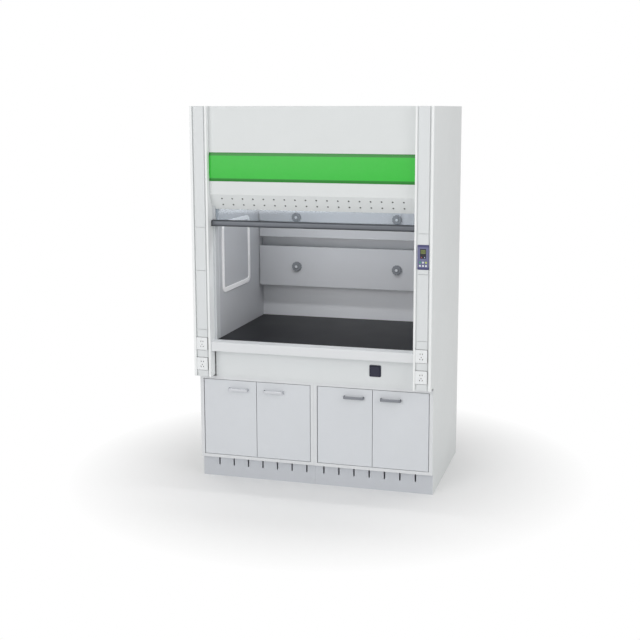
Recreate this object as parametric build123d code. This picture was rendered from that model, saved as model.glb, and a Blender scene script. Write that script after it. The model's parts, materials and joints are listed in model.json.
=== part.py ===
from build123d import *

import os
from math import atan2, cos, degrees, hypot, radians, sin, tan

# A ducted laboratory fume hood: two front service posts, a header with a green band and a
# perforated bypass grille, a telescoping counterbalanced sash, a lined working chamber with
# baffles, and two base cabinets on a plinth. X is the width, Y runs from front to back and Z
# is up. The origin is the middle of the footprint, on the floor. All sizes are millimetres.

# Overall size
width = 1500.0
depth = 1000.0
height = 2350.0

# Materials as they are bought
sheet = 2.0
board = 20.0
door_thickness = 18.0
liner = 6.0
glass = 6.0

# Clearances
panel_gap = 1.0
segment_gap = 1.6
cabinet_gap = 0.5
door_gap = 3.0
apron_gap = 5.0
sash_gap = 2.0
button_gap = 0.3
rocker_gap = 1.0
running_gap = 0.05
seat_gap = 0.3
cable_gap = 0.75
overcut = 1.0

# Front posts, each a folded lip and groove section that the service panels close
post_width = 108.5
post_depth = 77.0
post_bottom = 680.0
outer_lip = 15.5
inner_lip = 12.0
groove_depth = 12.0
post_flange = 30.0
hem = 14.0
bend_radius = 1.5

# Service panels, from the foot of a post to its top
service_width = 65.0
service_setback = 3.0
foot_panel = 40.0
socket_height = 82.0
socket_spacing = 46.0
cap_panel = 50.0
left_lower_panel = 370.0
left_middle_panel = 267.0
right_lower_panel = 398.0
panel_below_control = 29.0
panel_above_control = 65.0

# Sockets, with the X, Z and turn of each hole in the plate
socket_setback = 1.5
socket_corner = 4.0
socket_box_width = 50.0
socket_box_height = 62.0
socket_box_depth = 38.0
slot_width = 3.6
slot_length = 8.6
slot_depth = 9.0
socket_holes = [(-7, 14, 0), (7, 14, 0), (0, -5, 0), (-8, -18, 30), (8, -18, -30)]

# Control unit on the right post
control_width = 67.0
control_height = 145.0
control_setback = 2.0
control_face = 4.0
control_wall = 2.0
control_box_margin = 6.0
control_box_depth = 40.0
display_width = 36.0
display_height = 57.0
display_top_margin = 23.0
display_flange = 3.0
lamp_dot_radius = 2.4
lamp_dot_proud = 0.8
button_radius = 5.7
button_pitch_x = 18.0
button_pitch_z = 20.0
button_row_height = 22.5
button_proud = 1.4
button_dome = 0.7
button_flange = 1.5
button_skirt = 1.6
button_travel = 1.5

# Header: the plain panel, the green band and the perforated grille
header_setback = 35.0
header_return = 25.0
return_seat = 10.0
upper_panel_height = 277.0
band_height = 175.0
band_bevel = 20.0
band_proud = 4.0
band_edge = 1.0
grille_face = 80.0
grille_drop = 93.0
grille_run = 51.0
grille_hole_radius = 5.5
grille_columns = 18
grille_end = 74.5
grille_first_row = 30.0
grille_row_pitch = 43.5

# Working chamber
jamb_step = 16.5
worktop_height = 905.0
worktop_thickness = 25.0
rear_space = 35.0
roof_drop = 150.0
roof_space = 40.0
ceiling_setback = 140.0

# Sill and apron in front of the worktop
sill_setback = 14.5
sill_height = 57.0
sill_nose = 5.0
sill_rise = 5.0
apron_setback = 80.0
apron_top = 870.0

# Sash tracks and sashes
track_depth = 60.0
track_width = 43.0
track_rise = 40.0
front_slot = 18.0
slot_pocket_start = 8.0
slot_pocket_depth = 35.0
pocket_width = 16.0
stile_width = 21.0
stile_thickness = 12.0
pane_edge_cover = 8.0
rail_height = 20.0
front_sash_show = 105.0
front_sash_height = 495.0
rear_sash_lift = 12.0
rear_sash_height = 418.0
handle_height = 39.0
handle_front = 48.0
handle_grip = 27.0
handle_clamp_height = 30.0
handle_radius = 13.0

# Counterbalance: one shaft with a stepped drum at each end
shaft_radius = 8.0
drum_radius = 44.0
drum_flange = 4.0
drum_width = 10.0
drum_groove_side = 0.5
drum_beside_wall = 25.0
cable_radius = 1.5
bracket_rise = 50.0
bracket_thickness = 6.0
bracket_width = 70.0
bracket_head = 20.0
weight_width = 34.0
weight_depth = 80.0
weight_length = 529.0
weight_lift = 55.0
weight_chamfer = 3.0

# Baffles
baffle_gap = 85.0
baffle_side_gap = 6.0
baffle_lift = 225.0
baffle_slot = 65.0
top_baffle_slot = 34.0
top_baffle_rise = 345.0
top_baffle_run = 280.0
top_baffle_clearance = 40.0
knob_spacing = 700.0
knob_radius = 33.0
knob_thickness = 15.0
knob_edge = 3.0
knob_boss_radius = 14.0
knob_boss = 5.0
knob_flutes = 12
flute_radius = 5.0
stud_radius = 5.0
stud_length = 60.0
standoff_radius = 15.0
standoff_flange_radius = 28.0
standoff_flange = 4.0

# Access panels in the side liners
access_front = 180.0
access_length = 506.0
access_lift = 276.0
access_height = 454.0
rim_width = 30.0
rim_proud = 7.0
access_corner = 48.0

# Exhaust collar and lamp
collar_radius = 125.0
collar_from_back = 220.0
collar_length = 100.0
collar_flange = 30.0
lamp_length = 600.0
lamp_width = 120.0
lamp_setback = 240.0
lamp_height = 28.0
lamp_lip = 10.0

# Base cabinets, doors and plinth
cabinet_setback = 91.0
cabinet_top = 665.0
cabinet_back_space = 10.0
cabinet_back = 8.0
plinth_height = 131.0
plinth_setback = 121.5
plinth_board = 18.0
vent_count = 7
vent_width = 10.0
vent_height = 53.0
vent_below_top = 6.0
vent_near_end = 55.5
vent_far_end = 108.45
pivot_inset = 7.0
pin_radius = 2.5
pin_in_door = 12.0
pin_in_board = 10.0
shelf_height = 390.0
shelf_setback = 60.0
shelf_pin_reach = 12.0
shelf_pin_inset = 60.0
handle_length = 128.0
handle_standoff = 28.0
handle_bar = 7.0
handle_bar_height = 16.0
handle_corner = 9.8
handle_from_edge = 114.0
handle_level = 588.0
foot_radius = 23.0
foot_height = 8.0
foot_stem_radius = 6.0
foot_plate_radius = 20.0
foot_plate = 3.0
foot_inset = 70.0

# Frame that carries the worktop on the cabinets
tube = 40.0
tube_wall = 2.5
frame_inset = 10.0
frame_front = 95.0

# Rocker switch on the apron
switch_size = 73.0
switch_x = 393.7
switch_z = 765.0
switch_proud = 4.0
switch_corner = 8.0
switch_box_size = 64.0
switch_box_depth = 22.0
rocker_size = 56.0
rocker_angle = 2.5
rocker_proud = 1.0
rocker_pivot = 8.0
rocker_depth = 6.0
trunnion_radius = 2.0
trunnion_reach = 3.5

rear_flange = 20.0
roof_cable_hole = 8.0

# Places worked out from the sizes above
half = width / 2
inner = half - post_width
wall = inner - jamb_step
drum_plane = wall + drum_beside_wall
small_drum_plane = drum_plane - drum_width
service_x = (inner + inner_lip + half - outer_lip) / 2
side_groove = service_x - service_width / 2 - inner - inner_lip
rear_face = depth - rear_space
baffle_face = rear_face - baffle_gap
track_front = post_depth
track_back = track_front + track_depth
front_pane = track_front + front_slot
shaft_setback = front_pane + drum_radius
rear_pane = shaft_setback - drum_radius / 2
weight_setback = shaft_setback + drum_radius
collar_setback = depth - collar_from_back

# Heights worked out from the sizes above
band_bottom = height - upper_panel_height - band_height
grille_top = band_bottom - grille_face
grille_bottom = grille_top - grille_drop
roof_height = height - roof_drop
ceiling_height = roof_height - roof_space
collar_top = roof_height + collar_length
track_top = roof_height + track_rise
shaft_height = track_top + bracket_rise
front_sash_bottom = grille_bottom - front_sash_show
front_sash_top = front_sash_bottom + front_sash_height
rear_sash_bottom = grille_bottom + rear_sash_lift
rear_sash_top = rear_sash_bottom + rear_sash_height
weight_bottom = worktop_height + weight_lift
weight_top = weight_bottom + weight_length
access_bottom = worktop_height + access_lift
top_baffle_top = ceiling_height - top_baffle_clearance
top_baffle_bottom = top_baffle_top - top_baffle_rise
upper_baffle_top = top_baffle_bottom - top_baffle_slot
middle_baffle_bottom = worktop_height + baffle_lift
baffle_height = (upper_baffle_top - middle_baffle_bottom - baffle_slot) / 2
baffle_levels = [
    (middle_baffle_bottom, middle_baffle_bottom + baffle_height),
    (upper_baffle_top - baffle_height, upper_baffle_top),
]
socket_levels = [
    post_bottom + foot_panel,
    post_bottom + foot_panel + socket_height + socket_spacing,
]
lower_panel_bottom = socket_levels[1] + socket_height + cap_panel
left_middle_bottom = lower_panel_bottom + left_lower_panel
right_middle_bottom = lower_panel_bottom + right_lower_panel
control_bottom = right_middle_bottom + panel_below_control
control_top = control_bottom + control_height
left_seams = [lower_panel_bottom, left_middle_bottom, left_middle_bottom + left_middle_panel]
right_seams = [lower_panel_bottom, right_middle_bottom, control_top + panel_above_control]


def at(setback):
    """The Y of something this far behind the front of the posts."""
    return setback - depth / 2


def block(x, y, z):
    """A box between two limits on each axis, its Y limits measured from the front."""
    size = (x[1] - x[0], y[1] - y[0], z[1] - z[0])
    middle = ((x[0] + x[1]) / 2, at((y[0] + y[1]) / 2), (z[0] + z[1]) / 2)
    return Pos(*middle) * Box(*size)


def folded(path, thickness):
    """The section of a sheet folded along a path, its thickness to the left of the path."""
    steps = [
        (b[0] - a[0], b[1] - a[1]) for a, b in zip(path, path[1:])
    ]
    normals = [(-dy / hypot(dx, dy), dx / hypot(dx, dy)) for dx, dy in steps]
    inside = []
    for point, before, after in zip(path, normals[:1] + normals, normals + normals[-1:]):
        share = thickness / (1 + before[0] * after[0] + before[1] * after[1])
        inside.append(
            (
                point[0] + share * (before[0] + after[0]),
                point[1] + share * (before[1] + after[1]),
            )
        )
    return Polygon(*path, *reversed(inside), align=None)


def upright(section, low, high):
    """A section in the floor plan, its Y measured from the front, raised from low to high."""
    return Pos(0, at(0), low) * extrude(section, high - low, dir=(0, 0, 1))


def across(section, left, right):
    """A section seen from the side, as (setback, height), run from left to right."""
    return Pos(left, at(0), 0) * extrude(Plane.YZ * section, right - left, dir=(1, 0, 0))


def facing(section, front, back):
    """A section seen from the front, as (X, Z), run from front to back."""
    return Pos(0, at(front), 0) * extrude(Plane.XZ * section, back - front, dir=(0, 1, 0))


def rounded(wide, high, radius, x=0.0, z=0.0):
    """A rectangle with round corners, seen from the front."""
    return Pos(x, z) * RectangleRounded(wide, high, radius)


def turned(profile, x, setback, z, axis):
    """A profile given as (along, radius) and turned about X, Y or Z through a place."""
    body = revolve(Plane.XZ * Polygon(*profile, align=None), Axis.X)
    turns = {"X": Rotation(0, 0, 0), "Y": Rotation(0, 0, 90), "Z": Rotation(0, -90, 0)}
    return Pos(x, at(setback), z) * turns[axis] * body


def rod(radius, start, end):
    """A round bar between two places, each (X, setback, Z), along one axis."""
    step = [b - a for a, b in zip(start, end)]
    axis = "XYZ"[max(range(3), key=lambda k: abs(step[k]))]
    length = sum(step)
    profile = [(0, 0), (0, radius), (length, radius), (length, 0)]
    return turned(profile, *start, axis)


def mirrored(shape):
    """A right-hand piece and its left-hand twin."""
    return [shape, mirror(shape, about=Plane.YZ)]


def write(name, *solids):
    """One STEP file, holding one piece or a group of separate ones."""
    pieces = [s for shape in solids for s in shape.solids()]
    whole = pieces[0] if len(pieces) == 1 else Compound(children=pieces)
    export_step(whole, os.path.join("parts", name + ".step"))


def side_panel():
    """The right outer sheet: lip and hem at the post, stepped back at cabinet and plinth."""
    rear = [(half, depth), (half - rear_flange, depth)]
    edge = half - outer_lip
    lip = [(edge, groove_depth + hem), (edge, 0), (half, 0)]
    stages = [
        (0, plinth_height, [(half, plinth_setback)]),
        (plinth_height, post_bottom, [(half, cabinet_setback)]),
        (post_bottom, height, lip),
    ]
    panel = Part()
    for low, high, front in stages:
        panel += upright(folded(front + rear, sheet), low, high)
    edges = panel.edges().filter_by(Axis.Z)
    corners = [
        edges.sort_by_distance((x, at(0), (post_bottom + height) / 2))[0]
        for x in (edge, half)
    ]
    return fillet(corners, bend_radius)


def rear_panel():
    """The back sheet, inside the flanges of the side panels."""
    reach = half - sheet
    return block((-reach, reach), (depth - 2 * sheet, depth - sheet), (plinth_height, height))


def roof_plate():
    """The plate over the chamber, with the collar's opening and a hole for each cable."""
    reach = half - sheet
    plate = block(
        (-reach, reach), (ceiling_setback, depth - 2 * sheet), (roof_height, roof_height + sheet)
    )
    plate -= Pos(0, at(collar_setback), roof_height) * Cylinder(collar_radius + sheet, 4 * sheet)
    for side in (-1, 1):
        plate -= Pos(side * drum_plane, at(weight_setback), roof_height) * Cylinder(
            roof_cable_hole, 4 * sheet
        )
    return plate


def exhaust_collar():
    """The round spigot that the exhaust duct fits, with the flange that fixes it to the roof."""
    outer = collar_radius + sheet
    low = ceiling_height + liner
    rim = roof_height + sheet
    profile = [
        (low, collar_radius),
        (low, outer),
        (rim, outer),
        (rim, outer + collar_flange),
        (rim + sheet, outer + collar_flange),
        (rim + sheet, outer),
        (collar_top, outer),
        (collar_top, collar_radius),
    ]
    return turned(profile, 0, collar_setback, 0, "Z")


def front_post():
    """The right post: inner lip, groove and inner face of one folded sheet, closed below."""
    edge = half - outer_lip
    lip = inner + inner_lip
    path = [
        (inner + post_flange, post_depth),
        (inner, post_depth),
        (inner, 0),
        (lip, 0),
        (lip, groove_depth),
        (edge, groove_depth),
        (edge, groove_depth + 2 * hem),
    ]
    post = upright(folded(path, sheet), post_bottom, height)
    corners = [
        post.edges().filter_by(Axis.Z).sort_by_distance((x, at(0), height / 2))[0]
        for x in (inner, lip)
    ]
    post = fillet(corners, bend_radius)
    post += block(
        (inner + sheet, edge),
        (groove_depth + sheet, post_depth - sheet),
        (post_bottom, post_bottom + sheet),
    )
    for level in socket_levels:
        post -= socket_body(service_x, level, panel_gap)
    return post


def socket_body(x, level, margin):
    """The box behind a socket's plate, larger all round by a margin for the hole it goes in."""
    wide = socket_box_width / 2 + margin
    high = socket_box_height / 2 + margin
    middle = level + socket_height / 2
    return block(
        (x - wide, x + wide),
        (groove_depth - sheet, groove_depth + socket_box_depth + margin),
        (middle - high, middle + high),
    )


def control_body(margin):
    """The box behind the control unit's face, larger all round by a margin."""
    wide = control_width / 2 - control_box_margin + margin
    return block(
        (service_x - wide, service_x + wide),
        (service_setback - margin, groove_depth + control_box_depth + margin),
        (
            control_bottom + control_box_margin - margin,
            control_top - control_box_margin + margin,
        ),
    )


def tray(x, low, high):
    """A service panel: a shallow folded tray with soft front edges, open at the back."""
    wide = service_width / 2
    body = block((x - wide, x + wide), (service_setback, groove_depth), (low, high))
    body = fillet(body.faces().sort_by(Axis.Y)[0].edges(), bend_radius)
    wall_line = wide - sheet
    return body - block(
        (x - wall_line, x + wall_line),
        (service_setback + sheet, groove_depth),
        (low + sheet, high - sheet),
    )


def service_panels(side, seams, others):
    """The trays of one post, between its sockets and the other units that it carries."""
    units = [(level, level + socket_height) for level in socket_levels] + others
    levels = sorted([post_bottom, height, *seams, *[level for unit in units for level in unit]])
    half_gap = segment_gap / 2
    trays = []
    for low, high in zip(levels, levels[1:]):
        if (low, high) in units:
            continue
        foot = low if low == post_bottom else low + half_gap
        head = high if high == height else high - half_gap
        trays.append(tray(side * service_x, foot, head))
    return trays


def socket(x, level):
    """A five-hole socket: a plate that covers the groove on its left, and the box behind it."""
    middle = level + socket_height / 2
    high = socket_height - segment_gap
    cover = side_groove - seat_gap
    plate_x = x - cover / 2
    plate = facing(
        rounded(service_width + cover, high, socket_corner, plate_x, middle),
        socket_setback,
        groove_depth,
    )
    plate = fillet(plate.faces().sort_by(Axis.Y)[0].edges(), bend_radius)
    plate += socket_body(x, level, 0)
    for dx, dz, angle in socket_holes:
        hole = Pos(plate_x + dx, middle + dz) * Rotation(0, 0, angle)
        plate -= facing(hole * Rectangle(slot_width, slot_length), 0, socket_setback + slot_depth)
    return plate


def button_places():
    """The X and Z of each push button, row by row from the top left."""
    top = control_bottom + button_row_height + button_pitch_z
    return [
        (service_x + column * button_pitch_x, top - row * button_pitch_z)
        for row in (0, 1)
        for column in (-1, 0, 1)
    ]


def display_middle():
    """The height of the middle of the display."""
    return control_top - display_top_margin - display_height / 2


def control_housing():
    """The control unit's moulded face and box, hollow, with openings for display and buttons."""
    middle = (control_bottom + control_top) / 2
    face = facing(
        rounded(control_width, control_height, socket_corner, service_x, middle),
        control_setback,
        groove_depth,
    )
    face = fillet(face.faces().sort_by(Axis.Y)[0].edges(), bend_radius)
    inside_front = control_setback + control_face
    face += control_body(0)
    wide = control_width / 2 - control_box_margin - control_wall
    face -= block(
        (service_x - wide, service_x + wide),
        (inside_front, groove_depth + control_box_depth - control_wall),
        (
            control_bottom + control_box_margin + control_wall,
            control_top - control_box_margin - control_wall,
        ),
    )
    face -= facing(
        Pos(service_x, display_middle()) * Rectangle(display_width, display_height),
        0,
        inside_front,
    )
    for x, z in button_places():
        face -= rod(button_radius + button_gap, (x, 0, z), (x, inside_front, z))
    return face


def control_display():
    """The display's window with its board behind the face, and two small signal lamps."""
    inside_front = control_setback + control_face
    front = control_setback + seat_gap
    middle = display_middle()
    window = facing(
        Pos(service_x, middle) * Rectangle(display_width, display_height), front, inside_front
    )
    window += facing(
        Pos(service_x, middle)
        * Rectangle(display_width + 2 * display_flange, display_height + 2 * display_flange),
        inside_front,
        inside_front + sheet,
    )
    level = middle - display_height / 2 + 3 * lamp_dot_radius
    dots = [
        rod(lamp_dot_radius, (x, front - lamp_dot_proud, level), (x, front, level))
        for x in (service_x - display_width / 4, service_x + display_width / 4)
    ]
    return [window, *dots]


def push_button(x, z):
    """A push button: domed cap, and a skirt behind the face that keeps it in."""
    front = control_setback - button_proud
    skirt = control_setback + control_face + seat_gap
    outline = [
        (front, 0),
        (front, button_radius - 2 * button_dome),
        (front + button_dome, button_radius),
        (skirt, button_radius),
        (skirt, button_radius + button_skirt),
        (skirt + button_flange, button_radius + button_skirt),
        (skirt + button_flange, 0),
    ]
    return turned(outline, x, 0, z, "Y")


def header_piece(path):
    """A header sheet between the posts: its folds touch them, its face stays just clear."""
    piece = across(folded(path, -sheet), -inner, inner)
    reach = inner + panel_gap
    span = (header_setback, depth)
    for side in (-1, 1):
        near, far = side * (inner - panel_gap), side * reach
        face = (0, header_setback + header_return - return_seat)
        piece -= block(sorted((near, far)), face, (grille_top, height))
        piece -= block(sorted((near, far)), span, (0, grille_top))
        notch = sorted((side * (wall - panel_gap), far))
        piece -= block(notch, (track_front - panel_gap, depth), (0, grille_top))
    return piece


def upper_front_panel():
    """The plain panel at the top of the front."""
    front, back = header_setback, header_setback + header_return
    low = band_bottom + band_height
    return header_piece([(back, low), (front, low), (front, height), (back, height)])


def accent_band():
    """The green band: a raised moulded panel with a bevel along its top and bottom."""
    back = header_setback + header_return
    edge = header_setback + band_edge
    front = header_setback - band_proud
    top = band_bottom + band_height
    return header_piece(
        [
            (back, band_bottom),
            (edge, band_bottom),
            (front, band_bottom + band_bevel),
            (front, top - band_bevel),
            (edge, top),
            (back, top),
        ]
    )


def header_grille():
    """The lower header sheet, slanted back to the sash, with two rows of bypass holes."""
    front, back = header_setback, header_setback + header_return
    foot = (header_setback + grille_run, grille_bottom)
    piece = header_piece([foot, (front, grille_top), (front, band_bottom), (back, band_bottom)])
    slope = hypot(grille_run, grille_drop)
    angle = degrees(atan2(grille_run, grille_drop))
    first_x = grille_end - inner
    pitch = -2 * first_x / (grille_columns - 1)
    for row in (0, 1):
        down = grille_first_row + row * grille_row_pitch
        y = front + down * grille_run / slope
        z = grille_top - down * grille_drop / slope
        for column in range(grille_columns):
            hole = Pos(first_x + column * pitch, at(y), z) * Rotation(90 + angle, 0, 0)
            piece -= hole * Cylinder(grille_hole_radius, 6 * sheet)
    return piece


def sash_track():
    """The right track: an extrusion with a pocket for each sash behind a narrow mouth."""
    section = Pos(wall + track_width / 2, track_front + track_depth / 2) * Rectangle(
        track_width, track_depth
    )
    mouth = glass + sash_gap
    for pane in (front_pane, rear_pane):
        section -= Pos(wall + slot_pocket_start / 2, pane) * Rectangle(slot_pocket_start, mouth)
        pocket_length = slot_pocket_depth - slot_pocket_start
        section -= Pos(wall + slot_pocket_start + pocket_length / 2, pane) * Rectangle(
            pocket_length, pocket_width
        )
    return upright(section, worktop_height - worktop_thickness, track_top)


def weight_guide():
    """The channel behind a track that keeps the counterweight from swinging."""
    near = track_back
    far = weight_setback + weight_depth / 2 + sash_gap + sheet
    outer = drum_plane + weight_width / 2 + sash_gap + sheet
    lips = drum_plane
    path = [(lips, near), (outer, near), (outer, far), (lips, far)]
    return upright(folded(path, sheet), worktop_height, roof_height)


def side_liner():
    """The right wall of the chamber, with the opening of its access panel."""
    sheet_body = block(
        (wall, wall + liner),
        (track_back, rear_face),
        (worktop_height - worktop_thickness, ceiling_height),
    )
    return sheet_body - access_shape(wall, wall + liner, rim_width / 2)


def access_shape(low_x, high_x, inset):
    """A block with the access panel's rounded outline, smaller all round by an inset."""
    outline = Pos(
        access_front + access_length / 2, access_bottom + access_height / 2
    ) * RectangleRounded(
        access_length - 2 * inset, access_height - 2 * inset, access_corner - inset
    )
    return across(outline, low_x, high_x)


def access_panel():
    """The right access panel: a cover in the liner's opening, and the seal round its edge."""
    cover = access_shape(wall, wall + liner, rim_width / 2 + panel_gap / 2)
    seal = access_shape(wall - rim_proud, wall, 0) - access_shape(
        wall - rim_proud, wall, rim_width
    )
    inner_face = seal.faces().sort_by(Axis.X)[0]
    return [cover, fillet(inner_face.edges(), rim_proud / 2)]


def rear_liner():
    """The back wall of the chamber."""
    return block(
        (-wall - liner, wall + liner),
        (rear_face, rear_face + liner),
        (worktop_height - worktop_thickness, ceiling_height + liner),
    )


def ceiling_liner():
    """The chamber's ceiling, open at the exhaust collar and at the lamp."""
    panel = block(
        (-wall - liner, wall + liner),
        (ceiling_setback, rear_face),
        (ceiling_height, ceiling_height + liner),
    )
    panel -= Pos(0, at(collar_setback), ceiling_height) * Cylinder(
        collar_radius + panel_gap, 4 * liner
    )
    return panel - lamp_block(0, ceiling_height, ceiling_height + liner)


def lamp_block(margin, low, high):
    """A block with the lamp's outline, larger all round by a margin."""
    return block(
        (-lamp_length / 2 - margin, lamp_length / 2 + margin),
        (lamp_setback - margin, lamp_setback + lamp_width + margin),
        (low, high),
    )


def ceiling_lamp():
    """The lamp: a glass window in the ceiling, and the housing sealed over it."""
    base = ceiling_height + liner
    window = lamp_block(-panel_gap / 2, ceiling_height, base)
    housing = lamp_block(lamp_lip, base, base + lamp_height)
    housing = fillet(housing.faces().sort_by(Axis.Z)[-1].edges(), lamp_lip)
    housing -= lamp_block(-panel_gap, base, base + lamp_height - sheet)
    return [window, housing]


def baffles():
    """The middle and upper baffles, each with a hole for its two knob studs."""
    reach = wall - baffle_side_gap
    pieces = []
    for low, high in baffle_levels:
        panel = block((-reach, reach), (baffle_face, baffle_face + liner), (low, high))
        for side in (-1, 1):
            x = side * knob_spacing / 2
            z = (low + high) / 2
            panel -= rod(
                stud_radius + button_gap, (x, baffle_face - liner, z), (x, rear_face, z)
            )
        pieces.append(panel)
    return pieces


def top_baffle():
    """The slanted baffle from the upper baffle towards the ceiling."""
    path = [
        (baffle_face, top_baffle_bottom),
        (baffle_face - top_baffle_run, top_baffle_top),
    ]
    return across(folded(path, -liner), -wall, wall)


def knob_places():
    """The X and Z of each baffle knob, from the lower left."""
    middles = [sum(levels) / 2 for levels in baffle_levels]
    return [(side * knob_spacing / 2, z) for z in middles for side in (-1, 1)]


def standoff(x, z):
    """The flanged spacer that holds a baffle off the rear wall and takes a knob's stud."""
    back = rear_face
    front = baffle_face + liner
    outline = [
        (front, stud_radius + running_gap),
        (front, standoff_radius),
        (back - standoff_flange, standoff_radius),
        (back - standoff_flange, standoff_flange_radius),
        (back, standoff_flange_radius),
        (back, stud_radius + running_gap),
    ]
    return turned(outline, x, 0, z, "Y")


def knob(x, z):
    """A fluted hand knob on a stud, just clear of the face of its baffle."""
    back = baffle_face - seat_gap
    front = back - knob_thickness
    outline = [
        (front - knob_boss, 0),
        (front - knob_boss, knob_boss_radius - knob_edge),
        (front - knob_boss + knob_edge, knob_boss_radius),
        (front, knob_boss_radius),
        (front, knob_radius - knob_edge),
        (front + knob_edge, knob_radius),
        (back, knob_radius),
        (back, stud_radius),
        (back + stud_length, stud_radius),
        (back + stud_length, 0),
    ]
    body = turned(outline, x, 0, z, "Y")
    for turn in range(knob_flutes):
        angle = radians(360 / knob_flutes * turn)
        reach = knob_radius + flute_radius / 3
        fx = x + reach * cos(angle)
        fz = z + reach * sin(angle)
        body -= rod(flute_radius, (fx, front - overcut, fz), (fx, back + overcut, fz))
    return body


def worktop():
    """The solid black worktop between the liners."""
    reach = wall - panel_gap / 2
    top = block(
        (-reach, reach),
        (post_depth, rear_face),
        (worktop_height - worktop_thickness, worktop_height),
    )
    return top


def sill():
    """The air-foil sill: folded sheet in front of the worktop, its top rising to it."""
    low = worktop_height - sill_rise - sill_height
    front = sill_setback
    path = [
        (apron_setback, low),
        (front, low),
        (front, worktop_height - sill_rise - sill_nose),
        (front + sill_nose, worktop_height - sill_rise),
        (post_depth, worktop_height),
        (post_depth, worktop_height - worktop_thickness),
    ]
    reach = inner - panel_gap / 2
    return across(folded(path, -sheet), -reach, reach)


def apron():
    """The panel under the sill, hemmed back to the frame, with the switch's opening."""
    path = [
        (frame_front, post_bottom),
        (apron_setback, post_bottom),
        (apron_setback, apron_top),
        (frame_front, apron_top),
    ]
    reach = inner - apron_gap
    panel = across(folded(path, -sheet), -reach, reach)
    return panel - facing(
        Pos(switch_x, switch_z) * Rectangle(switch_box_size, switch_box_size),
        apron_setback - overcut,
        apron_setback + sheet + overcut,
    )


def support_frame():
    """The welded tube frame between the cabinets and the worktop."""
    top = worktop_height - worktop_thickness
    reach = half - frame_inset
    rear = rear_face - tube
    wall_line = tube_wall

    def hollow(x, y, z, along):
        limits = [x, y, z]
        inside = [
            pair if axis == along else (pair[0] + wall_line, pair[1] - wall_line)
            for axis, pair in enumerate(limits)
        ]
        return block(*limits) - block(*inside)

    frame = Part()
    for front in (frame_front, rear):
        frame += hollow((-reach, reach), (front, front + tube), (top - tube, top), 0)
    for left in (-reach, -tube / 2, reach - tube):
        frame += hollow((left, left + tube), (frame_front + tube, rear), (top - tube, top), 1)
    for left in (-reach, reach - tube):
        for front in (frame_front, rear):
            frame += hollow(
                (left, left + tube), (front, front + tube), (cabinet_top, top - tube), 2
            )
    return frame


def cabinet_limits():
    """The X limits of the right cabinet and of its opening, and its floor and ceiling."""
    outside = (cabinet_gap / 2, half - sheet)
    inside = (outside[0] + board, outside[1] - board)
    return outside, inside, (plinth_height + board, cabinet_top - board)


def door_limits():
    """The X limits of the right cabinet's inner and outer door, and the height limits."""
    _, inside, levels = cabinet_limits()
    middle = (inside[0] + inside[1]) / 2
    inner_door = (inside[0] + door_gap, middle - door_gap / 2)
    outer_door = (middle + door_gap / 2, inside[1] - door_gap)
    return inner_door, outer_door, (levels[0] + door_gap, levels[1] - door_gap)


def pivot_xs():
    """The X of the inner and the outer door's pivot."""
    inner_door, outer_door, _ = door_limits()
    return inner_door[0] + pivot_inset, outer_door[1] - pivot_inset


def door_pins():
    """The right cabinet's pivot pins, one above and one below each door."""
    _, _, (low, high) = door_limits()
    y = cabinet_setback + pivot_inset
    pins = []
    for x in pivot_xs():
        start = low - door_gap - pin_in_board
        pins.append(rod(pin_radius, (x, y, start), (x, y, low + pin_in_door)))
        end = high + door_gap + pin_in_board
        pins.append(rod(pin_radius, (x, y, high - pin_in_door), (x, y, end)))
    return pins


def shelf_pins():
    """The right cabinet's shelf pins, two in each side."""
    _, inside, _ = cabinet_limits()
    z = shelf_height - pin_radius
    pins = []
    for y in shelf_pin_ys():
        for edge, way in zip(inside, (1, -1)):
            low, high = sorted((edge - way * pin_in_board, edge + way * shelf_pin_reach))
            pins.append(rod(pin_radius, (low, y, z), (high, y, z)))
    return pins


def shelf_limits():
    """The setback of a shelf's front and back edge."""
    return cabinet_setback + shelf_setback, depth - cabinet_back_space - cabinet_back - door_gap


def shelf_pin_ys():
    """The setbacks of the shelf pins."""
    front, back = shelf_limits()
    return front + shelf_pin_inset, back - shelf_pin_inset


def cabinet():
    """The right carcass: a box of boards, open in front, bored for its pins."""
    outside, inside, levels = cabinet_limits()
    back = depth - cabinet_back_space
    body = block(outside, (cabinet_setback, back), (plinth_height, cabinet_top))
    body -= block(inside, (cabinet_setback, back - cabinet_back), levels)
    for pin in door_pins() + shelf_pins():
        body -= pin
    return body


def shelf():
    """The right cabinet's shelf, resting on its pins."""
    _, inside, _ = cabinet_limits()
    return block(
        (inside[0] + panel_gap, inside[1] - panel_gap),
        shelf_limits(),
        (shelf_height, shelf_height + board),
    )


def door(limits, pivot_x):
    """A door leaf, its hinge edge rounded about the pivot and bored for the pins."""
    _, _, (low, high) = door_limits()
    leaf = block(limits, (cabinet_setback, cabinet_setback + door_thickness), (low, high))
    hinge_edge = min(limits, key=lambda x: abs(x - pivot_x))
    corner = (
        leaf.edges()
        .filter_by(Axis.Z)
        .sort_by_distance((hinge_edge, at(cabinet_setback), (low + high) / 2))[0]
    )
    leaf = fillet(corner, pivot_inset)
    y = cabinet_setback + pivot_inset
    for end, way in ((low, 1), (high, -1)):
        bottom, top = sorted((end, end + way * (pin_in_door + seat_gap)))
        leaf -= rod(pin_radius + running_gap, (pivot_x, y, bottom), (pivot_x, y, top))
    return leaf


def door_handle(x):
    """A flat bow handle, seen from above: a bar carried by a leg at each end."""
    front = cabinet_setback - handle_standoff
    outer = Pos(x, cabinet_setback - handle_standoff / 2) * Rectangle(
        handle_length, handle_standoff
    )
    outer = fillet(outer.vertices().group_by(Axis.Y)[0], handle_corner)
    gap = handle_standoff - handle_bar
    opening = Pos(x, front + handle_bar + gap / 2) * Rectangle(
        handle_length - 2 * handle_bar, gap
    )
    opening = fillet(opening.vertices().group_by(Axis.Y)[0], handle_corner - handle_bar)
    low = handle_level - handle_bar_height / 2
    return upright(outer - opening, low, low + handle_bar_height)


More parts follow.
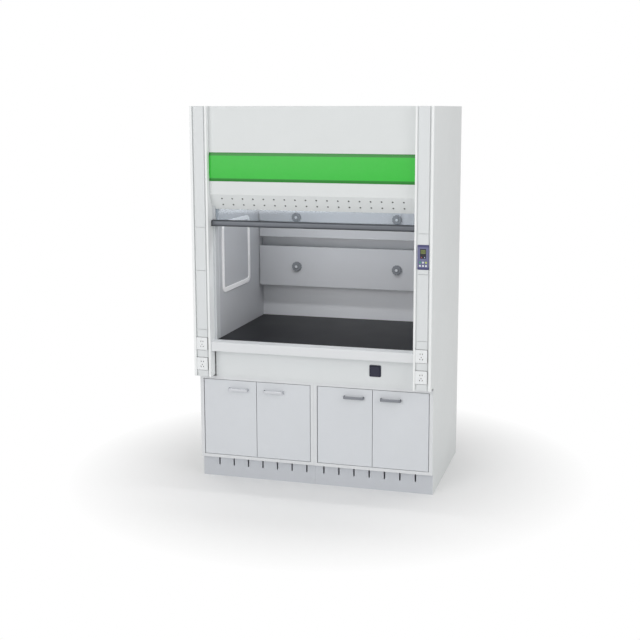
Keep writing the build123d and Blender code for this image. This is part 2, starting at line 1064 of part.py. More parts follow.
def handle_xs():
    """The X of the inner and the outer door's handle, from the edges where the doors meet."""
    inner_door, outer_door, _ = door_limits()
    return inner_door[1] - handle_from_edge, outer_door[0] + handle_from_edge


def plinth():
    """The right plinth: a frame of boards with a row of vents in the front one."""
    outside, _, _ = cabinet_limits()
    back = depth - cabinet_back_space
    frame = block(outside, (plinth_setback, back), (0, plinth_height))
    frame -= block(
        (outside[0] + plinth_board, outside[1] - plinth_board),
        (plinth_setback + plinth_board, back - plinth_board),
        (0, plinth_height),
    )
    vent = Rotation(0, 0, 90) * SlotOverall(vent_height, vent_width)
    first_x = outside[0] + vent_near_end
    last_x = outside[1] - vent_far_end
    for number in range(vent_count):
        x = first_x + number * (last_x - first_x) / (vent_count - 1)
        cut = Pos(x, plinth_height - vent_below_top - vent_height / 2) * vent
        frame -= facing(cut, plinth_setback - overcut, plinth_setback + plinth_board + overcut)
    return frame


def levelling_feet():
    """The right cabinet's four feet, from the floor to its underside."""
    outside, _, _ = cabinet_limits()
    outline = [
        (0, 0),
        (0, foot_radius),
        (foot_height / 2, foot_radius),
        (foot_height, foot_radius / 2),
        (foot_height, foot_stem_radius),
        (plinth_height - foot_plate, foot_stem_radius),
        (plinth_height - foot_plate, foot_plate_radius),
        (plinth_height, foot_plate_radius),
        (plinth_height, 0),
    ]
    return [
        turned(outline, x, y, 0, "Z")
        for x in (outside[0] + foot_inset, outside[1] - foot_inset)
        for y in (plinth_setback + foot_inset, depth - cabinet_back_space - foot_inset)
    ]


def pane(setback, low, high):
    """A sash's glass, its side edges held in the stiles."""
    reach = wall + slot_pocket_start + stile_width / 2
    return block((-reach, reach), (setback - glass / 2, setback + glass / 2), (low, high))


def sash_frame(setback, low, high, rails):
    """A sash's stiles and rails: channels on the edges of the glass."""
    inner_x = wall + slot_pocket_start + sash_gap
    thick = (setback - stile_thickness / 2, setback + stile_thickness / 2)
    stile = block((inner_x, inner_x + stile_width), thick, (low, high))
    frame = stile + mirror(stile, about=Plane.YZ)
    reach = wall - 2 * sash_gap
    for rail_low in rails:
        frame += block((-reach, reach), thick, (rail_low, rail_low + rail_height))
    return frame


def front_sash_frame():
    """The front sash's stiles and its top rail, grooved for the glass."""
    frame = sash_frame(
        front_pane, front_sash_bottom, front_sash_top, [front_sash_top - rail_height]
    )
    return frame - front_sash_pane()


def front_sash_pane():
    """The front sash's glass, from the handle to the top rail."""
    return pane(
        front_pane,
        front_sash_bottom + handle_clamp_height - 3 * pane_edge_cover,
        front_sash_top - rail_height + pane_edge_cover,
    )


def front_sash_handle():
    """The dark bar along the foot of the front sash: a round grip and a glass clamp."""
    top = front_sash_bottom + handle_height
    grip_back = handle_front + handle_grip
    grip = block(
        (-inner + door_gap, inner - door_gap),
        (handle_front, grip_back),
        (front_sash_bottom, top),
    )
    front_edges = grip.edges().filter_by(Axis.X).group_by(Axis.Y)[0]
    grip = fillet(front_edges, handle_radius)
    reach = wall - 2 * sash_gap
    clamp = block(
        (-reach, reach),
        (grip_back, front_pane + stile_thickness / 2),
        (front_sash_bottom, front_sash_bottom + handle_clamp_height),
    )
    return grip + clamp - front_sash_pane()


def rear_sash_pane():
    """The rear sash's glass."""
    return pane(
        rear_pane,
        rear_sash_bottom + pane_edge_cover,
        rear_sash_top - rail_height + pane_edge_cover,
    )


def rear_sash_frame():
    """The rear sash's stiles and its two rails, grooved for the glass."""
    rails = [rear_sash_bottom, rear_sash_top - rail_height]
    return sash_frame(rear_pane, rear_sash_bottom, rear_sash_top, rails) - rear_sash_pane()


def sash_shaft():
    """The shaft that keeps both sides of the sash level, with a stepped drum at each end."""
    small = drum_radius / 2
    half_groove = cable_radius + drum_groove_side
    end = bracket_plane() + bracket_thickness + shaft_radius

    def step(plane, radius, left, right):
        groove = radius - cable_radius
        rim = radius + drum_flange
        return [
            (left, rim),
            (plane - half_groove, rim),
            (plane - half_groove, groove),
            (plane + half_groove, groove),
            (plane + half_groove, rim),
            (right, rim),
        ]

    large_left = drum_plane - drum_width / 2
    large_right = drum_plane + drum_width / 2
    small_left = small_drum_plane - drum_width / 2
    profile = [
        (0, 0),
        (0, shaft_radius),
        (small_left, shaft_radius),
        *step(small_drum_plane, small, small_left, large_left),
        *step(drum_plane, drum_radius, large_left, large_right),
        (large_right, shaft_radius),
        (end, shaft_radius),
        (end, 0),
    ]
    right = turned(profile, 0, shaft_setback, shaft_height, "X")
    return right + mirror(right, about=Plane.YZ)


def bracket_plane():
    """The X of the near face of a shaft bracket."""
    return drum_plane + drum_width / 2 + sash_gap


def shaft_bracket():
    """The right bearing plate, standing on the end of the track."""
    foot_front = shaft_setback - bracket_width / 2
    outline = Pos(shaft_setback, (track_top + shaft_height) / 2) * Rectangle(
        bracket_width, shaft_height - track_top
    )
    outline += Pos(shaft_setback, shaft_height) * Circle(bracket_head)
    plate = across(outline, bracket_plane(), bracket_plane() + bracket_thickness)
    bore = rod(
        shaft_radius + running_gap,
        (bracket_plane() - overcut, shaft_setback, shaft_height),
        (bracket_plane() + bracket_thickness + overcut, shaft_setback, shaft_height),
    )
    return plate - bore


def cable(x, setback, low):
    """A wire rope hanging from the side of its drum, up to where it meets the wound turn."""
    radius = abs(setback - shaft_setback)
    beside = radius - 2 * cable_radius - cable_gap
    top = shaft_height - (radius**2 - beside**2) ** 0.5
    return rod(cable_radius, (x, setback, low), (x, setback, top))


def wound_cable(plane, radius):
    """The turn of rope that lies in a drum's groove."""
    return Pos(plane, at(shaft_setback), shaft_height) * Rotation(0, 90, 0) * Torus(
        radius, cable_radius
    )


def counterweight():
    """The right counterweight, with its corners eased."""
    body = block(
        (drum_plane - weight_width / 2, drum_plane + weight_width / 2),
        (weight_setback - weight_depth / 2, weight_setback + weight_depth / 2),
        (weight_bottom, weight_top),
    )
    return chamfer(body.edges().filter_by(Axis.Z), weight_chamfer)


def switch_frame():
    """The switch's square frame on the apron, and the box behind it."""
    front = apron_setback - switch_proud
    frame = facing(
        rounded(switch_size, switch_size, switch_corner, switch_x, switch_z),
        front,
        apron_setback,
    )
    frame = fillet(frame.faces().sort_by(Axis.Y)[0].edges(), bend_radius)
    frame += facing(
        Pos(switch_x, switch_z) * Rectangle(switch_box_size, switch_box_size),
        apron_setback,
        apron_setback + switch_box_depth,
    )
    opening = rocker_size + 2 * rocker_gap
    frame -= facing(
        Pos(switch_x, switch_z) * Rectangle(opening, opening),
        front,
        apron_setback + switch_box_depth - sheet,
    )
    reach = rocker_size / 2 + trunnion_reach + running_gap
    pivot = front + rocker_pivot
    return frame - rod(
        trunnion_radius + running_gap,
        (switch_x - reach, pivot, switch_z),
        (switch_x + reach, pivot, switch_z),
    )


def switch_rocker():
    """The rocker, its two faces meeting in a shallow valley, pressed at the foot."""
    half_size = rocker_size / 2
    front = apron_setback - switch_proud
    valley = front - rocker_proud
    lift = half_size * tan(radians(rocker_angle))
    back = front + rocker_depth
    outline = Polygon(
        (valley, switch_z),
        (valley - lift, switch_z + half_size),
        (back, switch_z + half_size),
        (back + rocker_depth, switch_z),
        (back, switch_z - half_size),
        (valley - lift, switch_z - half_size),
        align=None,
    )
    paddle = across(outline, switch_x - half_size, switch_x + half_size)
    pivot = front + rocker_pivot
    reach = half_size + trunnion_reach
    paddle += rod(
        trunnion_radius, (switch_x - reach, pivot, switch_z), (switch_x + reach, pivot, switch_z)
    )
    axis = Axis((0, at(pivot), switch_z), (1, 0, 0))
    return paddle.rotate(axis, rocker_angle)


os.makedirs("parts", exist_ok=True)

write("side_panels", *mirrored(side_panel()))
write("rear_panel", rear_panel())
write("roof_plate", roof_plate())
write("exhaust_collar", exhaust_collar())

right_post = front_post()
left_post = mirror(right_post, about=Plane.YZ)
write("front_posts", left_post, right_post - control_body(panel_gap))
control_unit = (control_bottom, control_top)
left_panels = service_panels(-1, left_seams, [])
right_panels = service_panels(1, right_seams, [control_unit])
write("service_panels", *left_panels, *right_panels)
write("sockets", *[socket(s * service_x, level) for s in (-1, 1) for level in socket_levels])
write("control_housing", control_housing())
write("control_display", *control_display())
button_names = ["power", "fan", "light", "down", "up", "mute"]
for name, place in zip(button_names, button_places()):
    write(name + "_button", push_button(*place))

write("upper_front_panel", upper_front_panel())
write("accent_band", accent_band())
write("header_grille", header_grille())

write("sash_tracks", *mirrored(sash_track()), *mirrored(weight_guide()))
write("front_sash_pane", front_sash_pane())
write("front_sash_handle", front_sash_handle())
write("front_sash_frame", front_sash_frame())
write("rear_sash_pane", rear_sash_pane())
write("rear_sash_frame", rear_sash_frame())
turns = [wound_cable(drum_plane, drum_radius), wound_cable(small_drum_plane, drum_radius / 2)]
write("sash_shaft", sash_shaft(), *[twin for turn in turns for twin in mirrored(turn)])
write("shaft_brackets", *mirrored(shaft_bracket()))
write("front_sash_cables", *mirrored(cable(drum_plane, front_pane, front_sash_top)))
write("rear_sash_cables", *mirrored(cable(small_drum_plane, rear_pane, rear_sash_top)))
write("counterweight_cables", *mirrored(cable(drum_plane, weight_setback, weight_top)))
weights = mirrored(counterweight())
write("right_counterweight", weights[0])
write("left_counterweight", weights[1])

write("chamber_liners", *mirrored(side_liner()), rear_liner())
access = access_panel()
write("access_panels", *mirrored(access[0]), *mirrored(access[1]))
write("ceiling_liner", ceiling_liner())
write("ceiling_lamp", *ceiling_lamp())
write("baffles", *baffles(), top_baffle())
write("baffle_standoffs", *[standoff(x, z) for x, z in knob_places()])
knob_names = ["lower_left", "lower_right", "upper_left", "upper_right"]
for name, place in zip(knob_names, knob_places()):
    write(name + "_knob", knob(*place))

write("worktop", worktop())
write("sill", sill())
write("apron", apron())
write("switch_frame", switch_frame())
write("switch_rocker", switch_rocker())
write("support_frame", support_frame())

write("cabinets", *mirrored(cabinet()))
write("shelves", *mirrored(shelf()))
write("cabinet_pins", *[twin for pin in door_pins() + shelf_pins() for twin in mirrored(pin)])
for place, limits, pivot_x, handle_x in zip(
    ("inner", "outer"), door_limits()[:2], pivot_xs(), handle_xs()
):
    doors = mirrored(door(limits, pivot_x))
    handles = mirrored(door_handle(handle_x))
    for side, leaf, bow in zip(("right", "left"), doors, handles):
        write(side + "_" + place + "_door", leaf)
        write(side + "_" + place + "_handle", bow)
write("plinths", *mirrored(plinth()))
write("levelling_feet", *[twin for foot in levelling_feet() for twin in mirrored(foot)])
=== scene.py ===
import json
from itertools import product
from math import cos, pi, radians, sin
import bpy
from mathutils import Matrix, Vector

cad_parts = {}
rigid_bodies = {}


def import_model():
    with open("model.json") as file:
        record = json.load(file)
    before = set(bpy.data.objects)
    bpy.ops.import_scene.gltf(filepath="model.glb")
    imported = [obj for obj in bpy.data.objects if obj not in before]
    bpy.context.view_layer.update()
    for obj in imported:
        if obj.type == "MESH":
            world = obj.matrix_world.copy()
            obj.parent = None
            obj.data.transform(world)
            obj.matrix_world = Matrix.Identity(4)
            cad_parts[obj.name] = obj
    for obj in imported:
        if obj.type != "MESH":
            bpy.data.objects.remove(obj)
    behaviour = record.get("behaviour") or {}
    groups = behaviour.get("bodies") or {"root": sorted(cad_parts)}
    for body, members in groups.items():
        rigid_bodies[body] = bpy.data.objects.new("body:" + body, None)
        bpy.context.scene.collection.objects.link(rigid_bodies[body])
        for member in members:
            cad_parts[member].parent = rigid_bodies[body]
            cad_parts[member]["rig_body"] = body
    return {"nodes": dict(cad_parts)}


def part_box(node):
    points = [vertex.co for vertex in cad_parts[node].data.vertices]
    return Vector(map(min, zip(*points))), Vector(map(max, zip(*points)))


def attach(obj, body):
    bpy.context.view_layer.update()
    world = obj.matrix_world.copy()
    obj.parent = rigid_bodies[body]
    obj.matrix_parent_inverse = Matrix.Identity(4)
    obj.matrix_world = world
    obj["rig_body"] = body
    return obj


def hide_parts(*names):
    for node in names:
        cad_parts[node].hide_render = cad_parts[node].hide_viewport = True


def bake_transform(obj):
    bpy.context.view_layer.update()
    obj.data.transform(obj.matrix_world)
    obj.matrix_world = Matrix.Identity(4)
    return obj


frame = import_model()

from types import SimpleNamespace

import bmesh
import bpy
from bpy.props import FloatProperty, FloatVectorProperty, PointerProperty
from bpy.types import NodeSocket, Operator, Panel, PropertyGroup
from mathutils import Matrix, Vector

bl_info = {
    "name": "Fume Hood",
    "version": (1, 0, 0),
    "blender": (4, 5, 0),
    "location": "View3D > Sidebar > Hood",
    "description": "Dresses the packed fume hood with its finishes, fittings and studio",
    "category": "Object",
}

# Everything is in metres and in the CAD's frame: X to the user's right, -Y to the front, Z up.
RIGHT, BACK, UP = Vector((1, 0, 0)), Vector((0, 1, 0)), Vector((0, 0, 1))
FRONT = -BACK
MM = 0.001


def screen(red, green, blue):
    """The linear colour of a colour given by its screen values of 0 to 255."""
    values = [v / 255 for v in (red, green, blue)]
    return [v / 12.92 if v <= 0.04045 else ((v + 0.055) / 1.055) ** 2.4 for v in values]


def swatch(description, red, green, blue):
    """A colour property, given by its screen values of 0 to 255."""
    return FloatVectorProperty(
        description=description, default=screen(red, green, blue), min=0, max=1, subtype="COLOR"
    )


def millimetres(description, value):
    """A length property, given in millimetres."""
    return FloatProperty(
        description=description, default=value * MM, min=0, precision=5, unit="LENGTH"
    )


def amount(description, value):
    """A property for a plain number that is never negative."""
    return FloatProperty(description=description, default=value, min=0)


def degrees(description, value):
    """An angle property, given in degrees."""
    return FloatProperty(description=description, default=radians(value), unit="ROTATION")


class HoodCoats(PropertyGroup):
    """Colours and surface of the coated sheet."""

    casing: swatch("Powder coat of the outer sheets", 222, 225, 225)
    # The posts' brighter white, also painted along the side panels' front edges as a highlight.
    lip: swatch("Powder coat of the post lips", 242, 244, 244)
    service: swatch("Coat of the trays in the posts", 222, 225, 226)
    sill: swatch("Powder coat of the air-foil sill", 226, 228, 230)
    apron: swatch("Powder coat of the panel under the sill", 222, 225, 226)
    support: swatch("Powder coat of the frame and brackets", 196, 199, 201)
    collar: swatch("Coat of the exhaust collar", 202, 205, 206)
    peel_pitch: millimetres("Width of the coat's orange peel", 2.2)
    peel_depth: millimetres("Height of the coat's orange peel", 0.03)


class HoodHeader(PropertyGroup):
    """Colours of the header."""

    band: swatch("Main colour of the band", 24, 186, 36)
    band_edge: swatch("Bevels of the band", 10, 128, 22)
    edge_width: millimetres("Height of each darker bevel", 19)
    # The screen's dark colour is painted shade, seen through the grille's holes.
    mesh: swatch("Fine mesh behind the grille", 44, 46, 52)
    mesh_gap: millimetres("From the grille to the mesh behind it", 1.2)


class HoodControls(PropertyGroup):
    """Colours and sizes of the sockets, the control unit and the switch."""

    socket: swatch("Moulded socket plates", 238, 240, 241)
    # The dark inside of the slots is painted shade in their recesses.
    slot: swatch("Inside of a socket's slots", 40, 40, 46)
    contact: swatch("Metal of the socket contacts", 150, 120, 70)
    unit: swatch("Moulded face of the control unit", 104, 106, 142)
    unit_edge: swatch("Ends of the control unit's face", 66, 66, 112)
    display: swatch("Window over the display", 30, 30, 42)
    crystal: swatch("Field of the liquid crystal", 112, 124, 62)
    digit: swatch("Segments of the liquid crystal", 34, 40, 20)
    alarm: swatch("Left signal lamp", 200, 70, 90)
    status: swatch("Right signal lamp", 190, 215, 240)
    key: swatch("Plain push buttons", 236, 240, 244)
    power_key: swatch("Green push button", 70, 160, 120)
    light_key: swatch("Yellow-green push button", 205, 222, 110)
    mark: swatch("Marks on the buttons", 90, 94, 110)
    switch: swatch("Moulded rocker switch", 26, 28, 52)
    crystal_width: millimetres("Width of the liquid crystal", 28)
    crystal_height: millimetres("Height of the liquid crystal", 22)


class HoodSash(PropertyGroup):
    """Colours and sizes of the sash and its counterbalance."""

    track: swatch("Coat of the tracks and sash frames", 214, 217, 220)
    bar: swatch("Dark bar along the foot of the sash", 92, 95, 100)
    cap: swatch("Moulded caps on the ends of the bar", 58, 60, 64)
    glass: swatch("Tint of the toughened glass", 234, 240, 245)
    steel: swatch("Turned shaft and drums", 176, 176, 180)
    rope: swatch("Stranded wire rope", 120, 120, 124)
    iron: swatch("Paint on the counterweights", 74, 78, 82)
    rope_radius: millimetres("Radius of the wire rope", 1.5)
    strand_pitch: millimetres("Length of one turn of the strands", 9)


class HoodChamber(PropertyGroup):
    """Colours of the working chamber."""

    liner: swatch("Phenolic board of walls and baffles", 190, 192, 196)
    # The back wall's lighter colour is painted light, making up for the shade that the baffles cast
    # on it.
    back: swatch("Board of the back wall", 222, 224, 228)
    seal: swatch("Raised seal of the access panels", 252, 252, 253)
    lamp: swatch("Opal window of the lamp", 240, 244, 250)
    lamp_power: amount("Strength of the lamp's window", 3)
    knob: swatch("Moulded baffle knobs", 120, 124, 130)
    knob_cap: swatch("Disc in the middle of a knob", 205, 208, 212)
    worktop: swatch("Cast resin of the worktop", 34, 35, 38)


class HoodCabinets(PropertyGroup):
    """Colours of the cabinets."""

    carcass: swatch("Laminated board of the cabinets", 222, 224, 226)
    door: swatch("Laminate of the doors", 216, 219, 223)
    edging: swatch("Edge tape of the doors", 196, 199, 203)
    plinth: swatch("Laminate of the plinth", 198, 201, 206)
    # Both pairs are the same brushed steel: the left pair's light colour is a painted bright
    # reflection, the right pair's dark colour a painted dark reflection.
    left_handle: swatch("Brushed bow handles of the left pair", 206, 208, 212)
    right_handle: swatch("Brushed bow handles of the right pair", 136, 139, 145)
    foot: swatch("Moulded levelling feet", 48, 48, 50)


class HoodFixings(PropertyGroup):
    """Sizes of screws and bolts, and how far edges are eased."""

    screw_radius: millimetres("Radius of a sheet screw's head", 4.5)
    screw_height: millimetres("Height of a sheet screw's head", 1.6)
    screw_pitch: millimetres("Largest distance between screws", 290)
    bolt_radius: millimetres("Radius of a hexagon bolt's head", 6.5)
    bolt_height: millimetres("Height of a hexagon bolt's head", 4)
    zinc: swatch("Zinc on the screws and bolts", 172, 174, 178)
    ease: millimetres("Width of the bevel on folded edges", 0.6)
    board_ease: millimetres("Width of the bevel on the cabinets' boards", 0.5)


class HoodStudio(PropertyGroup):
    """Light, floor and camera."""

    floor: amount("Brightness of the pale floor under the hood", 0.93)
    near: millimetres("Where the floor starts to fade to the backdrop", 700)
    far: millimetres("Where the floor has become the backdrop", 1700)
    ambient: amount("Strength of the light from all round", 0.56)
    key_power: amount("Power of the large lamp at the front left", 165)
    fill_power: amount("Power of the lamp at the right", 52)
    chamber_power: amount("Power of the light under the chamber's lamp", 6.5)
    lens: amount("Focal length in millimetres", 61.329)
    pitch: degrees("How far the camera looks down", 9)
    heading: degrees("How far the camera is turned to the left", 15.134)
    place: FloatVectorProperty(
        description="Where the camera stands", default=(1.8730, -6.6911, 2.3331), unit="LENGTH"
    )
    shift: FloatVectorProperty(
        description="Shift that the photograph's framing needs", default=(-0.0324, -0.06), size=2
    )


def fill(tree, socket, value):
    """Links or sets an input of a node."""
    if isinstance(value, NodeSocket):
        tree.links.new(value, socket)
    else:
        socket.default_value = value


def add_node(tree, kind, inputs=(), **settings):
    """A node with its settings, and its inputs linked or set by name or number."""
    made = tree.nodes.new(kind)
    for key, value in settings.items():
        setattr(made, key, value)
    for socket, value in dict(inputs).items():
        fill(tree, made.inputs[socket], value)
    return made


def add_math(tree, operation, first, second=0.0):
    return add_node(tree, "ShaderNodeMath", {0: first, 1: second}, operation=operation).outputs[0]


def seen_directly(tree):
    """1 for the rays of the camera, of a mirror and through glass, else 0."""
    path = add_node(tree, "ShaderNodeLightPath").outputs
    seen = add_math(tree, "MAXIMUM", path["Is Camera Ray"], path["Is Glossy Ray"])
    return add_math(tree, "MAXIMUM", seen, path["Is Transmission Ray"])


class Finish:
    """A material on the way: one surface shader, and the nodes that drive it."""

    def __init__(self, name, colour, roughness, **constants):
        self.material = bpy.data.materials.new(name)
        self.material.use_nodes = True
        self.tree = self.material.node_tree
        self.surface = self.tree.nodes["Principled BSDF"]
        self.colour = colour
        self.set("Base Color", (*colour, 1))
        self.set("Roughness", roughness)
        for socket, value in constants.items():
            self.set(socket.replace("_", " "), value)
        self.place = self.add("ShaderNodeTexCoord").outputs["Object"]

    def add(self, kind, inputs=(), **settings):
        return add_node(self.tree, kind, inputs, **settings)

    def set(self, socket, value):
        """Sets or links one input of the surface shader."""
        fill(self.tree, self.surface.inputs[socket], value)

    def noise(self, pitch, detail=2.0, stretch=(1, 1, 1)):
        """Noise with features of about a pitch in metres, stretched along an axis by a factor."""
        scale = [1 / s for s in stretch]
        turned = self.add("ShaderNodeMapping", {"Vector": self.place, "Scale": scale}).outputs[0]
        inputs = {"Vector": turned, "Scale": 1 / pitch, "Detail": detail}
        return self.add("ShaderNodeTexNoise", inputs).outputs["Fac"]

    def levels(self, value, low, high, start=0.3, end=0.7):
        """Maps the middle of a noise, or another span, to the levels low to high."""
        inputs = {"Value": value, 1: start, 2: end, 3: low, 4: high}
        return self.add("ShaderNodeMapRange", inputs, clamp=True).outputs[0]

    def blend(self, share, first, second):
        """A colour between two, each a colour or a socket."""
        pair = [c if isinstance(c, NodeSocket) else (*c, 1) for c in (first, second)]
        inputs = {"Factor": share, 6: pair[0], 7: pair[1]}
        return self.add("ShaderNodeMix", inputs, data_type="RGBA").outputs[2]

    def math(self, operation, first, second=0.0):
        return add_math(self.tree, operation, first, second)

    def axis(self, name):
        """The X, Y or Z of the place on the object."""
        return self.add("ShaderNodeSeparateXYZ", {0: self.place}).outputs[name]

    def within(self, axis, low, high):
        """1 where the place lies between two limits on an axis, else 0."""
        value = self.axis(axis)
        above = self.math("GREATER_THAN", value, low)
        return self.math("MULTIPLY", above, self.math("LESS_THAN", value, high))

    def paint(self, *blend):
        """Sets the base colour to a blend."""
        self.set("Base Color", self.blend(*blend))

    def mottle(self, share, pitch=0.35):
        """A faint unevenness of the base colour, as real coats and boards have."""
        darker = [c * (1 - share) for c in self.colour]
        lighter = [min(1, c * (1 + share)) for c in self.colour]
        self.colour_socket = self.blend(self.levels(self.noise(pitch, 3), 0, 1), darker, lighter)
        self.set("Base Color", self.colour_socket)

    def bump(self, height, depth):
        """Roughens the surface by a height of 0 to 1 that stands for a depth in metres."""
        made = self.add("ShaderNodeBump", {"Height": height, "Distance": depth})
        self.set("Normal", made.outputs[0])

    def handled(self, low, high, pitch=0.05):
        """Roughness that varies over the surface, as from wiping."""
        self.set("Roughness", self.levels(self.noise(pitch, 1), low, high, 0.15, 0.85))

    def cover(self, share, shader):
        """Lets another shader take the place of the surface's own by a share."""
        inputs = {0: share, 1: self.surface.outputs[0], 2: shader.outputs[0]}
        both = self.add("ShaderNodeMixShader", inputs).outputs[0]
        self.tree.links.new(both, self.tree.nodes["Material Output"].inputs["Surface"])


def textured(name, colour, roughness, cloud, grain, wiped, **constants):
    """A finish with a clouded colour, a grain of pitch, detail and depth, and wiping marks."""
    made = Finish(name, colour, roughness, **constants)
    made.mottle(*cloud)
    pitch, detail, depth = grain
    made.bump(made.noise(pitch, detail), depth)
    made.handled(*wiped)
    return made


def powder_coat(name, colour, low=0.38, high=0.5):
    """Satin powder coat with its orange peel."""
    coats = bpy.context.scene.hood_coats
    peel = coats.peel_pitch, 2, coats.peel_depth
    return textured(name, colour, low, [0.012], peel, (low, high), Specular_IOR_Level=0.45)


def coat_with_edge_highlight(name):
    """Powder coat with a painted highlight along its front edge, in the brighter white of the
    posts.
    """
    coats = bpy.context.scene.hood_coats
    coat = powder_coat(name, coats.casing)
    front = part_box("side_panels")[0].y
    # A strip about 2 mm deep at the side panels' front edge is painted the posts' white as a
    # highlight.
    lip = coat.within("Y", front - MM, front + 1.2 * MM)
    coat.paint(lip, coat.colour_socket, coats.lip)
    return coat


def moulding(name, colour, roughness, spark=0.015 * MM):
    """Moulded plastic with a fine spark texture."""
    wiped = roughness - 0.04, roughness + 0.06, 0.015
    return textured(name, colour, roughness, (0.015, 0.02), (0.6 * MM, 2, spark), wiped)


def brushed_metal(name, colour, stretch, roughness=0.34):
    """Metal with fine lines along the direction that the stretch gives."""
    metal = Finish(name, colour, roughness, Metallic=1.0)
    lines = metal.noise(0.5 * MM, 3, stretch)
    metal.paint(lines, [c * 0.86 for c in colour], colour)
    metal.set("Roughness", metal.levels(lines, roughness - 0.06, roughness + 0.1))
    metal.bump(lines, 0.008 * MM)
    return metal


def anodised(name, colour, stretch, roughness=0.38):
    """Satin anodised aluminium: faint die lines under a soft sheen."""
    metal = Finish(name, colour, roughness, Metallic=0.85)
    lines = metal.noise(1.2 * MM, 2, stretch)
    metal.paint(lines, [c * 0.93 for c in colour], colour)
    metal.set("Roughness", metal.levels(metal.noise(0.03, 3), roughness - 0.04, roughness + 0.07))
    metal.bump(lines, 0.006 * MM)
    return metal


def phenolic(name, colour):
    """Smooth pressed board with a faint cloudiness and a low sheen."""
    grain, wiped = (5 * MM, 3, 0.02 * MM), (0.38, 0.42, 0.3)
    return textured(name, colour, 0.3, (0.012, 0.25), grain, wiped, Specular_IOR_Level=0.4)


def laminate(name, colour):
    """Laminated board with a fine pearl grain."""
    grain, wiped = (0.9 * MM, 3, 0.02 * MM), (0.38, 0.5, 0.08)
    return textured(name, colour, 0.42, (0.012, 0.3), grain, wiped, Specular_IOR_Level=0.4)


def edged_laminate(name, colour, edging, low, high):
    """Laminate whose edges, outside the limits of its face, wear an edge tape."""
    board = laminate(name, colour)
    tape = 0.7 * MM
    inside_x = board.within("X", low.x + tape, high.x - tape)
    inside_z = board.within("Z", low.z + tape, high.z - tape)
    board.paint(board.math("MULTIPLY", inside_x, inside_z), edging, board.colour_socket)
    return board


def cast_resin(name, colour):
    """Black cast resin: glossy, with a very fine grey fleck."""
    resin = Finish(name, colour, 0.3, Specular_IOR_Level=0.04)
    fleck = resin.levels(resin.noise(1.4 * MM, 2), 0, 1, 0.55, 0.8)
    resin.paint(fleck, colour, [min(1, c * 1.3 + 0.002) for c in colour])
    resin.handled(0.28, 0.33, 0.25)
    resin.bump(resin.noise(0.03, 1), 0.01 * MM)
    return resin


def toughened_glass(name, tint):
    """Clear glass that lets the lamps through, with a faint smear of wiping."""
    glass = Finish(name, tint, 0.02, Transmission_Weight=1.0)
    smear = glass.levels(glass.noise(0.2, 3), 0, 1)
    glass.paint(smear, tint, [min(1, c * 1.03) for c in tint])
    clear = glass.add("ShaderNodeBsdfTransparent", {"Color": (*tint, 1)})
    glass.cover(glass.add("ShaderNodeLightPath").outputs["Is Shadow Ray"], clear)
    return glass


def wire_rope(name, colour, pitch, radius):
    """Stranded wire: strands that wind round the rope, with painted shade in the grooves between
    them.
    """
    rope = Finish(name, colour, 0.35, Metallic=1.0)
    strands = 6
    seen = rope.add("ShaderNodeUVMap", uv_map="Lay").outputs[0]
    lay = rope.add("ShaderNodeSeparateXYZ", {0: seen})
    turns = rope.math("DIVIDE", lay.outputs["Y"], pitch)
    around = rope.math("MULTIPLY", rope.math("ADD", turns, lay.outputs["X"]), strands * 2 * pi)
    strand_and_groove_shade = rope.levels(rope.math("SINE", around), 0, 1, -1, 1)
    # The grooves between the strands are painted dark as shade; the same pattern also sets
    # roughness and bump.
    rope.paint(strand_and_groove_shade, [c * 0.25 for c in colour], colour)
    rope.set("Roughness", rope.levels(strand_and_groove_shade, 0.6, 0.3, 0, 1))
    rope.bump(strand_and_groove_shade, 0.25 * radius)
    return rope


def cast_paint(name, colour):
    """Thick paint on a sand casting."""
    grain = 2.5 * MM, 4, 0.25 * MM
    return textured(name, colour, 0.55, (0.08, 0.05), grain, (0.45, 0.65, 0.03))


def shared(name, make, *values):
    """A finish by its name, made the first time that it is asked for."""
    found = bpy.data.materials.get(name)
    return SimpleNamespace(material=found) if found else make(name, *values)


def zinc_plate():
    """The finish of the screws and bolts."""
    return shared("zinc plate", brushed_metal, bpy.context.scene.hood_fixings.zinc, (1, 1, 1), 0.36)


def dress(finish, *nodes):
    """Gives CAD nodes that stay as they are their finish."""
    for node in nodes:
        for slot in frame["nodes"][node].material_slots:
            slot.material = finish.material


def smooth_group(vert, first):
    """The faces round a corner that a walk from one of them reaches without a sharp edge."""
    group, queue = {first}, [first]
    while queue:
        for edge in queue.pop().edges:
            if edge.smooth and vert in edge.verts:
                for face in edge.link_faces:
                    if face not in group:
                        group.add(face)
                        queue.append(face)
    return group


def flat_normals(bm):
    """A normal for each face corner, led by the large faces, so that flats stay flat."""
    bm.normal_update()
    size = {face: face.normal * face.calc_area() for face in bm.faces}
    found = {}
    for face in bm.faces:
        for corner in face.loops:
            if corner not in found:
                group = smooth_group(corner.vert, face)
                normal = sum((size[member] for member in group), Vector()).normalized()
                for other in corner.vert.link_loops:
                    if other.face in group:
                        found[other] = normal
    return [found[corner] for face in bm.faces for corner in face.loops]


def new_object(bm, name, finish):
    """The object of a bmesh, which it uses up."""
    mesh = bpy.data.meshes.new(name)
    bm.to_mesh(mesh)
    bm.free()
    mesh.materials.append(finish.material)
    made = bpy.data.objects.new(name, mesh)
    bpy.context.scene.collection.objects.link(made)
    return made


def placed(bm, name, finish, body, smooth=40):
    """Turns a bmesh built in place into a piece on its body, smooth except at its edges."""
    for face in bm.faces:
        face.smooth = True
    for edge in bm.edges:
        edge.smooth = len(edge.link_faces) == 2 and edge.calc_face_angle(0) < radians(smooth)
    normals = flat_normals(bm)
    piece = new_object(bm, name, finish)
    piece.data.normals_split_custom_set(normals)
    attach(piece, body)
    return piece


def bevel(bm, edges, width, steps=2, **settings):
    """Eases edges by a width."""
    bmesh.ops.bevel(
        bm, geom=edges, offset=width, segments=steps, profile=0.5, affect="EDGES", material=-1,
        **settings,
    )


